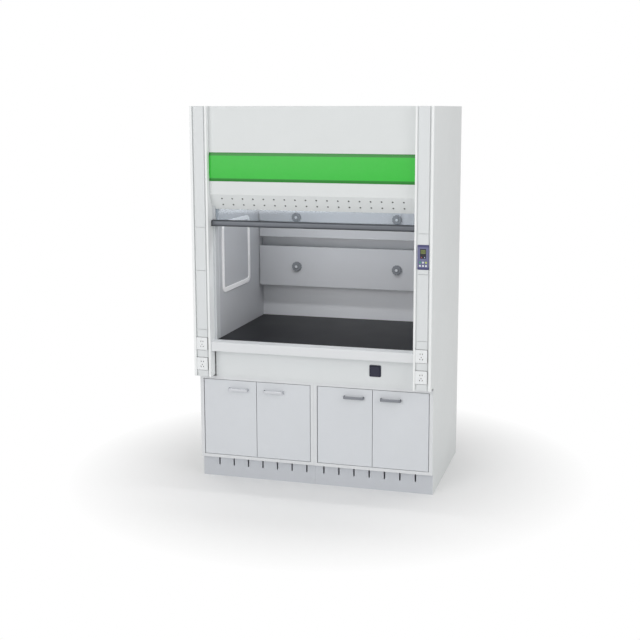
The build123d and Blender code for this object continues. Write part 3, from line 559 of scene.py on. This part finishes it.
def eased(node, name, finish, width, steps=2, angle=30):
    """A node's own shape with its folded edges eased, standing in for the node."""
    source = frame["nodes"][node]
    bm = bmesh.new()
    bm.from_mesh(source.data)
    bmesh.ops.remove_doubles(bm, verts=bm.verts, dist=0.002 * MM)
    bmesh.ops.dissolve_limit(
        bm, angle_limit=radians(0.5), verts=bm.verts, edges=bm.edges, delimit={"NORMAL"}
    )
    sharp = [
        e for e in bm.edges if len(e.link_faces) == 2 and e.calc_face_angle(0) > radians(angle)
    ]
    bevel(bm, sharp, width, steps, clamp_overlap=True)
    bmesh.ops.triangulate(bm, faces=[f for f in bm.faces if len(f.verts) > 4])
    piece = placed(bm, name, finish, source["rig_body"])
    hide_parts(node)


def frame_of(place, normal):
    """The matrix that stands something built along Z on a place, along a normal."""
    turn = UP.rotation_difference(Vector(normal)).to_matrix().to_4x4()
    return Matrix.Translation(place) @ turn


def add_turned(bm, outline, place, normal, steps=24):
    """Spins an outline of (radius, height) about a normal at a place."""
    own = bmesh.new()
    points = [own.verts.new((radius, 0, height)) for radius, height in outline]
    edges = [own.edges.new(pair) for pair in zip(points, points[1:])]
    bmesh.ops.spin(
        own, geom=points + edges, cent=(0, 0, 0), axis=UP, angle=2 * pi, steps=steps,
        use_merge=True,
    )
    bmesh.ops.remove_doubles(own, verts=own.verts, dist=0.001 * MM)
    bmesh.ops.recalc_face_normals(own, faces=own.faces)
    own.transform(frame_of(place, normal))
    mesh = bpy.data.meshes.new("turned")
    own.to_mesh(mesh)
    own.free()
    bm.from_mesh(mesh)
    bpy.data.meshes.remove(mesh)


def add_box(bm, low, high, ease, place=Matrix()):
    """A block between two corners, its edges eased, moved and turned as a place's matrix says."""
    low, high = Vector(low), Vector(high)
    where = place @ Matrix.Translation((low + high) / 2) @ Matrix.Diagonal((*(high - low), 1))
    made = bmesh.ops.create_cube(bm, size=1, matrix=where)["verts"]
    bevel(bm, list({e for v in made for e in v.link_edges}), ease)


def add_screw(bm, place, normal):
    """A sheet screw's pan head, with the recess for its driver."""
    fixings = bpy.context.scene.hood_fixings
    shares = [(0, 0.35), (0.3, 0.4), (0.42, 1), (0.7, 0.92), (0.93, 0.6), (1, 0.2), (1, 0)]
    outline = [(r * fixings.screw_radius, h * fixings.screw_height) for r, h in shares]
    add_turned(bm, outline, place, normal, 14)


def add_screws(bm, xs, ys, zs, normal):
    """A screw at each place of a grid."""
    for x, y, z in product(xs, ys, zs):
        add_screw(bm, (x, y, z), normal)


def add_bolt(bm, place, normal):
    """A hexagon bolt's head on its washer."""
    fixings = bpy.context.scene.hood_fixings
    radius, height = fixings.bolt_radius, fixings.bolt_height
    washer = 0.25 * height
    rim = 1.35 * radius
    add_turned(bm, [(0.4 * radius, washer), (rim, washer), (rim, 0)], place, normal, 20)
    where = frame_of(place, normal) @ Matrix.Translation((0, 0, washer + height / 2))
    made = bmesh.ops.create_cone(
        bm, cap_ends=True, segments=6, radius1=radius, radius2=radius, depth=height, matrix=where
    )["verts"]
    bevel(bm, list({e for v in made for e in v.link_edges}), 0.08 * radius)


def spaced(low, high, pitch):
    """Even places from low to high, no further apart than a pitch."""
    count = max(1, round((high - low) / pitch + 0.499))
    return [low + (high - low) * i / count for i in range(count + 1)]


class HoodStep:
    """What the operators share: each builds its pieces from the scene's settings."""

    def execute(self, context):
        self.build(context.scene)
        return {"FINISHED"}


class HOOD_OT_casing(HoodStep, Operator):
    """Coats the outer sheets and the posts, and fixes the rear panel and the roof with screws"""

    bl_idname = "hood.casing"
    bl_label = "Casing"

    def build(self, scene):
        coats, fixings = scene.hood_coats, scene.hood_fixings
        pitch = fixings.screw_pitch
        white = powder_coat("casing coat", coats.casing)
        # The side panels carry a painted highlight along their front edges.
        dress(coat_with_edge_highlight("side coat"), "side_panels")
        dress(white, "rear_panel", "roof_plate")
        dress(powder_coat("post coat", coats.lip), "front_posts")
        dress(powder_coat("service coat", coats.service), "service_panels")
        eased("upper_front_panel", "upper_front_sheet", white, fixings.ease)
        screws = bmesh.new()
        low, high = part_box("rear_panel")
        inset, side, end, corner = 12 * MM, 27 * MM, 30 * MM, 0.25
        levels = spaced(low.z + end, high.z - end, pitch)
        add_screws(screws, (low.x + side, high.x - side), [high.y], levels, BACK)
        row = spaced(low.x + corner, high.x - corner, pitch)
        add_screws(screws, row, [high.y], (low.z + inset, high.z - inset), BACK)
        low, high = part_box("roof_plate")
        inset, side, front, back = 15 * MM, 25 * MM, 0.12, 0.15
        row = spaced(low.x + side, high.x - side, pitch)
        add_screws(screws, row, [high.y - inset], [high.z], UP)
        row = spaced(low.y + front, high.y - back, pitch)
        add_screws(screws, (low.x + inset, high.x - inset), row, [high.z], UP)
        placed(screws, "casing_screws", zinc_plate(), "casing")


class HOOD_OT_collar(HoodStep, Operator):
    """Finishes the exhaust collar, with a bead, a seam and rivets in its flange"""

    bl_idname = "hood.collar"
    bl_label = "Exhaust collar"

    def build(self, scene):
        low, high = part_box("exhaust_collar")
        middle = (low + high) / 2
        steel = powder_coat("collar coat", scene.hood_coats.collar, 0.42, 0.55)
        dress(steel, "exhaust_collar")
        flange_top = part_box("roof_plate")[1].z + 2 * MM
        flange_width, bead_depth = 30 * MM, 22 * MM
        spigot = (high.x - low.x) / 2 - flange_width
        profile = [(0, -4), (2, -2.4), (3, 0), (2, 2.4), (0, 4)]
        outline = [(spigot + out * MM, along * MM) for out, along in profile]
        bead = bmesh.new()
        add_turned(bead, outline, (middle.x, middle.y, high.z - bead_depth), UP, 72)
        placed(bead, "collar_bead", steel, "casing")
        rivets = bmesh.new()
        count, reach = 12, spigot + 17 * MM
        for turn in range(count):
            angle = 2 * pi * (turn + 0.5) / count
            x, y = middle.x + reach * cos(angle), middle.y + reach * sin(angle)
            add_screw(rivets, (x, y, flange_top), UP)
        seam = [flange_top + level * (high.z - flange_top) for level in (0.35, 0.62, 0.86)]
        add_screws(rivets, [middle.x], [middle.y + spigot], seam, BACK)
        placed(rivets, "collar_rivets", zinc_plate(), "casing")


class HOOD_OT_sockets(HoodStep, Operator):
    """Finishes the socket plates and puts the contacts into their slots"""

    bl_idname = "hood.sockets"
    bl_label = "Sockets"
    # Each slot's place from the middle of its plate, in millimetres, and its angle in degrees.
    slots = [(-7, 14, 0), (7, 14, 0), (0, -5, 0), (-8, -18, 30), (8, -18, -30)]

    def build(self, scene):
        controls = scene.hood_controls
        low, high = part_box("sockets")
        plate = moulding("socket moulding", controls.socket, 0.28)
        # Everything 0.5 to 10 mm behind the plate's front, the inside of the slots, is painted dark
        # as the shade in these recesses.
        deep = plate.within("Y", low.y + 0.5 * MM, low.y + 10 * MM)
        plate.paint(deep, plate.colour_socket, controls.slot)
        dress(plate, "sockets")
        unit_low, unit_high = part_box("control_housing")
        groove = (unit_low.x + unit_high.x) / 2
        half_plate, left_of_groove, depth = 40.2 * MM, 3.85 * MM, 7.4 * MM
        half = Vector((0.7, 1.5, 3.2)) * MM
        contacts = bmesh.new()
        for side in (-1, 1):
            for middle in (low.z + half_plate, high.z - half_plate):
                for dx, dz, angle in self.slots:
                    x = side * groove - left_of_groove + dx * MM
                    where = Matrix.Translation((x, low.y + depth, middle + dz * MM))
                    turn = Matrix.Rotation(radians(-angle), 4, "Y")
                    add_box(contacts, -half, half, 0.3 * MM, where @ turn)
        brass = brushed_metal("contact brass", controls.contact, (1, 1, 6), 0.4)
        placed(contacts, "socket_contacts", brass, "casing")


def segment_limits(letter, wide, high, bar):
    """The X and Z limits of one of the seven segments of a digit, from its lower left."""
    half = high / 2
    return {
        "a": (bar, wide - bar, high - bar, high),
        "b": (wide - bar, wide, half, high),
        "c": (wide - bar, wide, 0, half),
        "d": (bar, wide - bar, 0, bar),
        "e": (0, bar, 0, half),
        "f": (0, bar, half, high),
        "g": (bar, wide - bar, half - bar / 2, half + bar / 2),
    }[letter]


class HOOD_OT_control_unit(HoodStep, Operator):
    """Finishes the control unit: display, digits, signal lamps and marked buttons"""

    bl_idname = "hood.control_unit"
    bl_label = "Control unit"
    segments = {"0": "abcdef", "5": "afgcd"}

    def build(self, scene):
        controls = scene.hood_controls
        low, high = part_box("control_housing")
        housing = moulding("control moulding", controls.unit, 0.4)
        end = 13 * MM
        middle_part = housing.within("Z", low.z + end, high.z - end)
        housing.paint(middle_part, controls.unit_edge, housing.colour_socket)
        dress(housing, "control_housing")
        self.display(controls)
        self.buttons(controls)

    def display(self, controls):
        """The dark window with its two lamps, and the crystal with plain digits."""
        low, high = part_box("control_display")
        smooth = 0.004 * MM
        window = moulding("display window", controls.display, 0.12, smooth)
        middle = (low.x + high.x) / 2
        lamps = window.within("Y", low.y - MM, low.y + 0.75 * MM)
        right = window.math("GREATER_THAN", window.axis("X"), middle)
        lit = window.blend(right, controls.alarm, controls.status)
        window.paint(lamps, window.colour_socket, lit)
        window.set("Emission Color", lit)
        window.set("Emission Strength", window.math("MULTIPLY", lamps, 0.35))
        dress(window, "control_display")
        face, top = low.y + 0.8 * MM, high.z - 9 * MM
        half, tall = controls.crystal_width / 2, controls.crystal_height
        crystal = bmesh.new()
        foremost, hindmost = face - 0.12 * MM, face + 0.1 * MM
        corners = (middle - half, foremost, top - tall), (middle + half, hindmost, top)
        add_box(crystal, *corners, 0.05 * MM)
        field = moulding("crystal field", controls.crystal, 0.3, smooth)
        placed(crystal, "display_crystal", field, "casing")
        wide, high, bar, space, ease = 5.4 * MM, 11 * MM, 1.2 * MM, 2.2 * MM, 0.03 * MM
        left, foot, front = middle - 10.5 * MM, top - tall / 2 - high / 2, face - 0.2 * MM
        point = left + wide + 0.5 * MM
        digits = bmesh.new()
        for digit in "050":
            for letter in self.segments[digit]:
                x1, x2, z1, z2 = segment_limits(letter, wide, high, bar)
                corners = (left + x1, front, foot + z1), (left + x2, face, foot + z2)
                add_box(digits, *corners, ease)
            left += wide + space
        add_box(digits, (point, front, foot), (point + bar, face, foot + bar), ease)
        ink = moulding("crystal digits", controls.digit, 0.4, smooth)
        placed(digits, "display_digits", ink, "casing")

    def buttons(self, controls):
        """The caps, and a plain raised mark on each: an arrow, or a ring with some rays."""
        plain = moulding("button moulding", controls.key, 0.38)
        dress(plain, "fan_button", "down_button", "up_button", "mute_button")
        dress(moulding("power button moulding", controls.power_key, 0.38), "power_button")
        dress(moulding("light button moulding", controls.light_key, 0.38), "light_button")
        ink = moulding("button mark", controls.mark, 0.45)
        raised, inner, outer, dot, reach = 0.1 * MM, 1.5 * MM, 2.1 * MM, 0.35 * MM, 2.9 * MM
        ring = [(inner, 0), (inner, raised), (outer, raised), (outer, 0)]
        rays = {"power": 0, "fan": 4, "light": 8, "mute": 2}
        for name in ("power", "fan", "light", "down", "up", "mute"):
            low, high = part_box(name + "_button")
            middle = (low + high) / 2
            face = Vector((middle.x, low.y, middle.z))
            mark = bmesh.new()
            if name in rays:
                add_turned(mark, ring, face, FRONT, 24)
                for ray in range(rays[name]):
                    angle = 2 * pi * ray / rays[name]
                    place = face + Vector((reach * cos(angle), 0, reach * sin(angle)))
                    add_turned(mark, [(0, raised), (dot, raised), (dot, 0)], place, FRONT, 8)
            else:
                turn = Matrix.Rotation(pi if name == "down" else 0, 4, "Y")
                where = Matrix.Translation(face) @ turn @ Matrix.Rotation(pi / 2, 4, "X")
                bmesh.ops.create_cone(
                    mark, cap_ends=True, segments=3, radius1=2.3 * MM, radius2=2.2 * MM,
                    depth=0.16 * MM, matrix=where @ Matrix.Rotation(pi / 2, 4, "Z"),
                )
            placed(mark, name + "_button_mark", ink, name + "_button")


class HOOD_OT_header(HoodStep, Operator):
    """Finishes the green band and the perforated grille, with a dark screen behind its holes that
    paints their shade
    """

    bl_idname = "hood.header"
    bl_label = "Header"

    def build(self, scene):
        header = scene.hood_header
        low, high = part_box("accent_band")
        band = moulding("band moulding", header.band, 0.34, 0.008 * MM)
        face = band.within("Z", low.z + header.edge_width, high.z - header.edge_width)
        band.paint(face, header.band_edge, band.colour_socket)
        eased("accent_band", "band_moulding", band, scene.hood_fixings.ease)
        dress(shared("casing coat", powder_coat, scene.hood_coats.casing), "header_grille")
        self.shade_screen(header)

    def shade_screen(self, header):
        """The dark screen just behind the slanted part of the grille, its colour painted shade for
        the holes.
        """
        low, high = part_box("header_grille")
        height, depth, sheet = 80 * MM, 51 * MM, 2 * MM
        first, last, half_width = 14 * MM, 90 * MM, 0.61
        knee = Vector((0, low.y, high.z - height))
        slope = (Vector((0, low.y + depth, low.z)) - knee).normalized()
        behind = Vector((0, -slope.z, slope.y)) * (sheet + header.mesh_gap)
        start, end = knee + slope * first + behind, knee + slope * last + behind
        across = half_width * RIGHT
        bm = bmesh.new()
        corners = [start - across, start + across, end + across, end - across]
        face = bm.faces.new([bm.verts.new(c) for c in corners])
        bmesh.ops.recalc_face_normals(bm, faces=[face])
        bmesh.ops.solidify(bm, geom=[face], thickness=0.6 * MM)
        bmesh.ops.recalc_face_normals(bm, faces=bm.faces)
        # The screen's dark colour paints the shade seen through the grille's holes; the weave is
        # its own pattern.
        dark = moulding("screen mesh", header.mesh, 0.7, 0.1 * MM)
        weave = dark.levels(dark.noise(1.2 * MM, 1), 0, 1, 0.4, 0.6)
        dark.paint(weave, [c * 0.4 for c in header.mesh], header.mesh)
        placed(bm, "bypass_shade_screen", dark, "casing")


def add_rope(bm, start, end, radius, sides=10, rings=60):
    """A rope as a tube from one place to another, with a UV map that counts turns and length."""
    where, length = frame_of(start, end - start), (end - start).length
    lay = bm.loops.layers.uv.verify()
    first_turn = 0.25
    turns = [first_turn + side / sides for side in range(sides + 1)]
    around = [(radius * cos(2 * pi * t), radius * sin(2 * pi * t)) for t in turns[:-1]]
    levels = [ring * length / rings for ring in range(rings + 1)]
    rows = [[bm.verts.new(where @ Vector((*xy, z))) for xy in around] for z in levels]
    for ring in range(rings):
        for side in range(sides):
            places = [(ring, side), (ring, side + 1), (ring + 1, side + 1), (ring + 1, side)]
            face = bm.faces.new([rows[r][s % sides] for r, s in places])
            for corner, (r, s) in zip(face.loops, places):
                corner[lay].uv = turns[s], levels[r]
    bmesh.ops.recalc_face_normals(bm, faces=bm.faces)


def add_terminal(bm, place, up, radius):
    """The swaged end of a rope: a sleeve with a rounded shoulder, along the rope."""
    shoulder, sleeve, neck, top = 2.5 * MM, 17 * MM, 20 * MM, 22 * MM
    profile = [
        (0, 0), (2.6, 0), (2.6, 1.5 * MM), (2.1, shoulder), (2.1, sleeve), (1.7, neck),
        (1.08, top), (0, top),
    ]
    add_turned(bm, [(share * radius, along) for share, along in profile], place, up, 20)


class HOOD_OT_sash(HoodStep, Operator):
    """Finishes the glass, the frames and the dark handle bar of both sashes"""

    bl_idname = "hood.sash"
    bl_label = "Sash"

    def build(self, scene):
        sash, fixings = scene.hood_sash, scene.hood_fixings
        glass = toughened_glass("sash glass", sash.glass)
        rail = powder_coat("sash frame coat", sash.track)
        for side in ("front", "rear"):
            eased(side + "_sash_pane", side + "_glass", glass, 0.8 * MM, angle=60)
        for side in ("front", "rear"):
            eased(side + "_sash_frame", side + "_frame", rail, fixings.ease)
        bar = anodised("handle bar metal", sash.bar, (80, 1, 1), 0.36)
        eased("front_sash_handle", "handle_bar", bar, 0.8 * MM)
        self.end_caps(sash)

    def end_caps(self, sash):
        """A thin moulded cap on each end of the bar."""
        low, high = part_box("front_sash_handle")
        thick, depth, inset, ease = 1.4 * MM, 24 * MM, 1.2 * MM, 0.6 * MM
        caps = bmesh.new()
        for left in (low.x - thick, high.x):
            corner = Vector((left, low.y + inset, low.z + inset))
            size = Vector((thick, depth, high.z - low.z - 2 * inset))
            add_box(caps, corner, corner + size, ease)
        rubber = moulding("bar cap moulding", sash.cap, 0.5)
        placed(caps, "handle_end_caps", rubber, "front_sash")


class HOOD_OT_counterbalance(HoodStep, Operator):
    """Finishes tracks, shaft, brackets, wire ropes and counterweights"""

    bl_idname = "hood.counterbalance"
    bl_label = "Counterbalance"

    def build(self, scene):
        sash = scene.hood_sash
        track = powder_coat("track coat", sash.track)
        eased("sash_tracks", "track_profiles", track, 0.4 * MM)
        dress(brushed_metal("turned steel", sash.steel, (1, 30, 30), 0.3), "sash_shaft")
        bracket = powder_coat("bracket coat", scene.hood_coats.support, 0.42, 0.55)
        eased("shaft_brackets", "bracket_plates", bracket, scene.hood_fixings.ease)
        iron = cast_paint("weight paint", sash.iron)
        for side in ("left", "right"):
            eased(side + "_counterweight", side + "_weight", iron, 1.5 * MM)
        self.bolts()
        self.ropes(sash)

    def bolts(self):
        """Two bolts through the foot of each bracket."""
        low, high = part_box("shaft_brackets")
        inset, above = 14 * MM, 12 * MM
        bolts = bmesh.new()
        for side in (-1, 1):
            for y in (low.y + inset, high.y - inset):
                add_bolt(bolts, (side * high.x, y, low.z + above), side * RIGHT)
        placed(bolts, "bracket_bolts", zinc_plate(), "casing")

    def ropes(self, sash):
        """The wire ropes, each a straight tube over the height of its node, with a swaged end at
        its foot.
        """
        wire = wire_rope("wire rope", sash.rope, sash.strand_pitch, sash.rope_radius)
        steel = brushed_metal("swaged steel", sash.steel, (1, 1, 1), 0.3)
        pairs = {
            "front_sash_cables": ("front_sash", "front_sash", 0, 0),
            "rear_sash_cables": ("rear_sash", "rear_sash", 0, 0),
            "counterweight_cables": ("left_counterweight", "right_counterweight", 0.05, 0.02),
        }
        for node, (left_body, right_body, below, above) in pairs.items():
            low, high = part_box(node)
            y = (low.y + high.y) / 2
            for side, name, body in ((-1, "left", left_body), (1, "right", right_body)):
                x = side * (high.x - sash.rope_radius)
                bottom, top = Vector((x, y, low.z)), Vector((x, y, high.z))
                bm = bmesh.new()
                add_rope(bm, bottom, top, sash.rope_radius)
                piece = placed(bm, name + "_" + node[:-1], wire, "casing", 80)
                piece.parent = None
                del piece["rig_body"]
                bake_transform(piece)
                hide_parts(node)
                sleeve = bmesh.new()
                add_terminal(sleeve, bottom, UP, sash.rope_radius)
                placed(sleeve, name + "_" + node[:-7] + "_terminal", steel, body)


class HOOD_OT_chamber(HoodStep, Operator):
    """Finishes the lining, access panels, baffles, knobs and lamp of the working chamber"""

    bl_idname = "hood.chamber"
    bl_label = "Chamber"

    def build(self, scene):
        chamber = scene.hood_chamber
        board = phenolic("liner board", chamber.liner)
        dress(board, "ceiling_liner")
        eased("baffles", "baffle_boards", board, scene.hood_fixings.ease)
        walls = phenolic("wall board", chamber.liner)
        # The back wall is painted lighter than the side walls, as painted light against the
        # baffles' shade.
        back = walls.within("Y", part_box("chamber_liners")[1].y - 7 * MM, 1)
        walls.paint(back, walls.colour_socket, chamber.back)
        dress(walls, "chamber_liners")
        dress(moulding("spacer moulding", chamber.liner, 0.45), "baffle_standoffs")
        self.access_panels(chamber)
        self.knobs(chamber)
        self.lamp(chamber)

    def access_panels(self, chamber):
        """Covers of the liner's board, each in a whiter raised seal."""
        seal = moulding("seal moulding", chamber.seal, 0.38, 0.01 * MM)
        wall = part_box("access_panels")[1].x - 6.1 * MM
        beyond = seal.math("GREATER_THAN", seal.math("ABSOLUTE", seal.axis("X")), wall)
        seal.paint(beyond, seal.colour_socket, chamber.liner)
        dress(seal, "access_panels")

    def knobs(self, chamber):
        """The baffles' knobs, each with a domed cap."""
        plastic = moulding("knob moulding", chamber.knob, 0.45, 0.03 * MM)
        pale = moulding("knob cap moulding", chamber.knob_cap, 0.3)
        dome = [(0, 0.9 * MM), (6 * MM, 0.8 * MM), (8.4 * MM, 0.4 * MM), (9 * MM, 0)]
        for place in ("lower_left", "lower_right", "upper_left", "upper_right"):
            name = place + "_knob"
            dress(plastic, name)
            low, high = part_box(name)
            middle = (low + high) / 2
            cap = bmesh.new()
            add_turned(cap, dome, (middle.x, low.y, middle.z), FRONT, 32)
            placed(cap, name + "_cap", pale, name)

    def lamp(self, chamber):
        """Opal window that gives light, in a white housing."""
        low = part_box("ceiling_lamp")[0]
        opal = moulding("lamp window", chamber.lamp, 0.3)
        window = opal.within("Z", low.z - MM, low.z + 5.9 * MM)
        opal.set("Emission Color", (*chamber.lamp, 1))
        opal.set("Emission Strength", opal.math("MULTIPLY", window, chamber.lamp_power))
        dress(opal, "ceiling_lamp")


class HOOD_OT_worktop(HoodStep, Operator):
    """Finishes the cast resin worktop, the sill, and the apron with its rocker switch"""

    bl_idname = "hood.worktop"
    bl_label = "Worktop"

    def build(self, scene):
        coats, ease = scene.hood_coats, scene.hood_fixings.ease
        resin = cast_resin("worktop resin", scene.hood_chamber.worktop)
        eased("worktop", "worktop_slab", resin, 2 * MM, 3)
        eased("sill", "sill_sheet", powder_coat("sill coat", coats.sill, 0.3, 0.42), ease)
        apron = powder_coat("apron coat", coats.apron)
        eased("apron", "apron_sheet", apron, ease)
        self.closing_strip(apron)
        support = powder_coat("support coat", coats.support, 0.42, 0.55)
        eased("support_frame", "support_tubes", support, 1.5 * MM)
        dark = moulding("switch moulding", scene.hood_controls.switch, 0.22, 0.008 * MM)
        dress(dark, "switch_frame")
        eased("switch_rocker", "rocker_paddle", dark, 0.8 * MM)

    def closing_strip(self, coat):
        """The strip in the gap between the apron and the cabinets, set back from the front."""
        low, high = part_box("apron")
        setback, clear, ease = 5 * MM, 0.2 * MM, 0.6 * MM
        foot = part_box("cabinets")[1].z + clear
        strip = bmesh.new()
        corners = (low.x, low.y + setback, foot), (high.x, high.y - clear, low.z - clear)
        add_box(strip, *corners, ease)
        placed(strip, "apron_closing_strip", coat, "casing")


class HOOD_OT_cabinets(HoodStep, Operator):
    """Finishes cabinets, doors, handles, plinths and feet"""

    bl_idname = "hood.cabinets"
    bl_label = "Cabinets"

    def build(self, scene):
        cabinets, fixings = scene.hood_cabinets, scene.hood_fixings
        carcass = laminate("carcass laminate", cabinets.carcass)
        plinth = laminate("plinth laminate", cabinets.plinth)
        eased("cabinets", "cabinet_carcasses", carcass, fixings.board_ease)
        eased("shelves", "cabinet_shelves", carcass, fixings.board_ease)
        eased("plinths", "plinth_boards", plinth, fixings.board_ease)
        dress(brushed_metal("pin steel", fixings.zinc, (1, 1, 8), 0.3), "cabinet_pins")
        self.feet(cabinets, fixings)
        # The two handle colours are painted reflections on one steel: bright for the left pair,
        # dark for the right.
        for side, colour in (("left", cabinets.left_handle), ("right", cabinets.right_handle)):
            steel = brushed_metal(side + " handle steel", colour, (40, 1, 1), 0.32)
            for name in (side + "_outer", side + "_inner"):
                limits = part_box(name + "_door")
                leaf = edged_laminate(
                    name + " door laminate", cabinets.door, cabinets.edging, *limits
                )
                eased(name + "_door", name + "_leaf", leaf, 0.7 * MM)
                eased(name + "_handle", name + "_bow", steel, 0.8 * MM)
                self.handle_screws(name)

    def handle_screws(self, name):
        """The two screws behind a handle, on the inside of its door."""
        low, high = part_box(name + "_handle")
        back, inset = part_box(name + "_door")[1].y, 3.5 * MM
        screws = bmesh.new()
        row = low.x + inset, high.x - inset
        add_screws(screws, row, [back], [(low.z + high.z) / 2], BACK)
        placed(screws, name + "_handle_screws", zinc_plate(), name + "_door")

    def feet(self, cabinets, fixings):
        """Levelling feet: black moulded pads under zinc stems."""
        foot = moulding("foot moulding", cabinets.foot, 0.5)
        stem = foot.within("Z", 8.5 * MM, 0.2)
        foot.paint(stem, foot.colour_socket, fixings.zinc)
        foot.set("Metallic", stem)
        dress(foot, "levelling_feet")


class HOOD_OT_stage(HoodStep, Operator):
    """Builds the floor, the backdrop, the lamps and the camera"""

    bl_idname = "hood.stage"
    bl_label = "Stage"

    def build(self, scene):
        studio = scene.hood_studio
        self.floor(studio)
        self.world(scene, studio)
        middle, back_wall = Vector((0, 0, 1.3)), Vector((0, 0.4, 0.9))
        self.lamp(scene, "key_lamp", (-2.6, -7.6, 3.1), middle, studio.key_power, 4.4)
        self.lamp(scene, "fill_lamp", (4.6, -2.6, 3.2), middle, studio.fill_power, 3.0)
        low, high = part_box("ceiling_lamp")
        under = Vector((0, (low.y + high.y) / 2, low.z - 12 * MM))
        long, deep = high.x - low.x, 0.13
        self.lamp(scene, "chamber_light", under, back_wall, studio.chamber_power, long, deep)
        self.camera(scene, studio)
        scene.view_settings.view_transform = "Standard"

    def floor(self, studio):
        """A round floor that fades from the hood's shadow to the white backdrop."""
        paint = Finish("floor paint", [studio.floor] * 3, 0.8, Specular_IOR_Level=0.1)
        reach = paint.add("ShaderNodeVectorMath", {0: paint.place}, operation="LENGTH")
        away = paint.levels(reach.outputs["Value"], 0, 1, studio.near, studio.far)
        white = paint.add("ShaderNodeEmission")
        paint.cover(paint.math("MULTIPLY", away, seen_directly(paint.tree)), white)
        bm = bmesh.new()
        bmesh.ops.create_circle(bm, cap_ends=True, segments=96, radius=14)
        floor = new_object(bm, "floor", paint)

    def world(self, scene, studio):
        """Even light from all round, and a white backdrop where it is seen."""
        world = bpy.data.worlds.new("studio")
        world.use_nodes = True
        tree = world.node_tree
        levels = {"Value": seen_directly(tree), "To Min": studio.ambient}
        strength = add_node(tree, "ShaderNodeMapRange", levels).outputs[0]
        backdrop = tree.nodes["Background"].inputs
        fill(tree, backdrop["Color"], (1, 1, 1, 1))
        fill(tree, backdrop["Strength"], strength)
        scene.world = world

    def lamp(self, scene, name, place, target, power, size, depth=None):
        """A lamp that looks at a target: a square, or a rectangle where it has a depth."""
        light = bpy.data.lights.new(name, "AREA")
        light.energy, light.size = power, size
        if depth:
            light.shape, light.size_y = "RECTANGLE", depth
        lamp = bpy.data.objects.new(name, light)
        scene.collection.objects.link(lamp)
        lamp.location = place
        lamp.rotation_euler = (target - Vector(place)).to_track_quat("-Z", "Y").to_euler()
        lamp.visible_camera = False
        lamp.visible_glossy = lamp.visible_transmission = depth is None

    def camera(self, scene, studio):
        """The photograph's view."""
        data = bpy.data.cameras.new("camera")
        data.lens = studio.lens
        data.shift_x, data.shift_y = studio.shift
        camera = bpy.data.objects.new("camera", data)
        scene.collection.objects.link(camera)
        camera.location = studio.place
        camera.rotation_euler = (pi / 2 - studio.pitch, 0, studio.heading)
        scene.camera = camera


GROUPS = {
    "hood_" + group.__name__.removeprefix("Hood").lower(): group
    for group in (
        HoodCoats, HoodHeader, HoodControls, HoodSash, HoodChamber, HoodCabinets, HoodFixings,
        HoodStudio,
    )
}
OPERATORS = [
    HOOD_OT_stage, HOOD_OT_casing, HOOD_OT_collar, HOOD_OT_sockets,
    HOOD_OT_control_unit, HOOD_OT_header, HOOD_OT_sash, HOOD_OT_counterbalance,
    HOOD_OT_chamber, HOOD_OT_worktop, HOOD_OT_cabinets,
]


class HOOD_PT_panel(Panel):
    """Lists the hood's groups of pieces and their sizes and colours"""

    bl_idname = "HOOD_PT_panel"
    bl_label = "Fume Hood"
    bl_space_type = "VIEW_3D"
    bl_region_type = "UI"
    bl_category = "Hood"

    def draw(self, context):
        for operator in OPERATORS:
            self.layout.operator(operator.bl_idname)
        for name, group in GROUPS.items():
            box = self.layout.box()
            box.label(text=group.__doc__)
            for key in group.__annotations__:
                label = key.replace("_", " ").capitalize()
                box.prop(getattr(context.scene, name), key, text=label)


CLASSES = [*GROUPS.values(), *OPERATORS, HOOD_PT_panel]


def register():
    for kind in CLASSES:
        bpy.utils.register_class(kind)
    for name, group in GROUPS.items():
        setattr(bpy.types.Scene, name, PointerProperty(type=group))


def unregister():
    for name in GROUPS:
        delattr(bpy.types.Scene, name)
    for kind in reversed(CLASSES):
        bpy.utils.unregister_class(kind)


def main():
    """Dresses the hood."""
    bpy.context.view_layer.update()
    register()
    for operator in OPERATORS:
        name = operator.bl_idname.split(".")[1]
        if getattr(bpy.ops.hood, name)() != {"FINISHED"}:
            raise RuntimeError(name + " didn't finish")


if __name__ == "__main__":
    main()
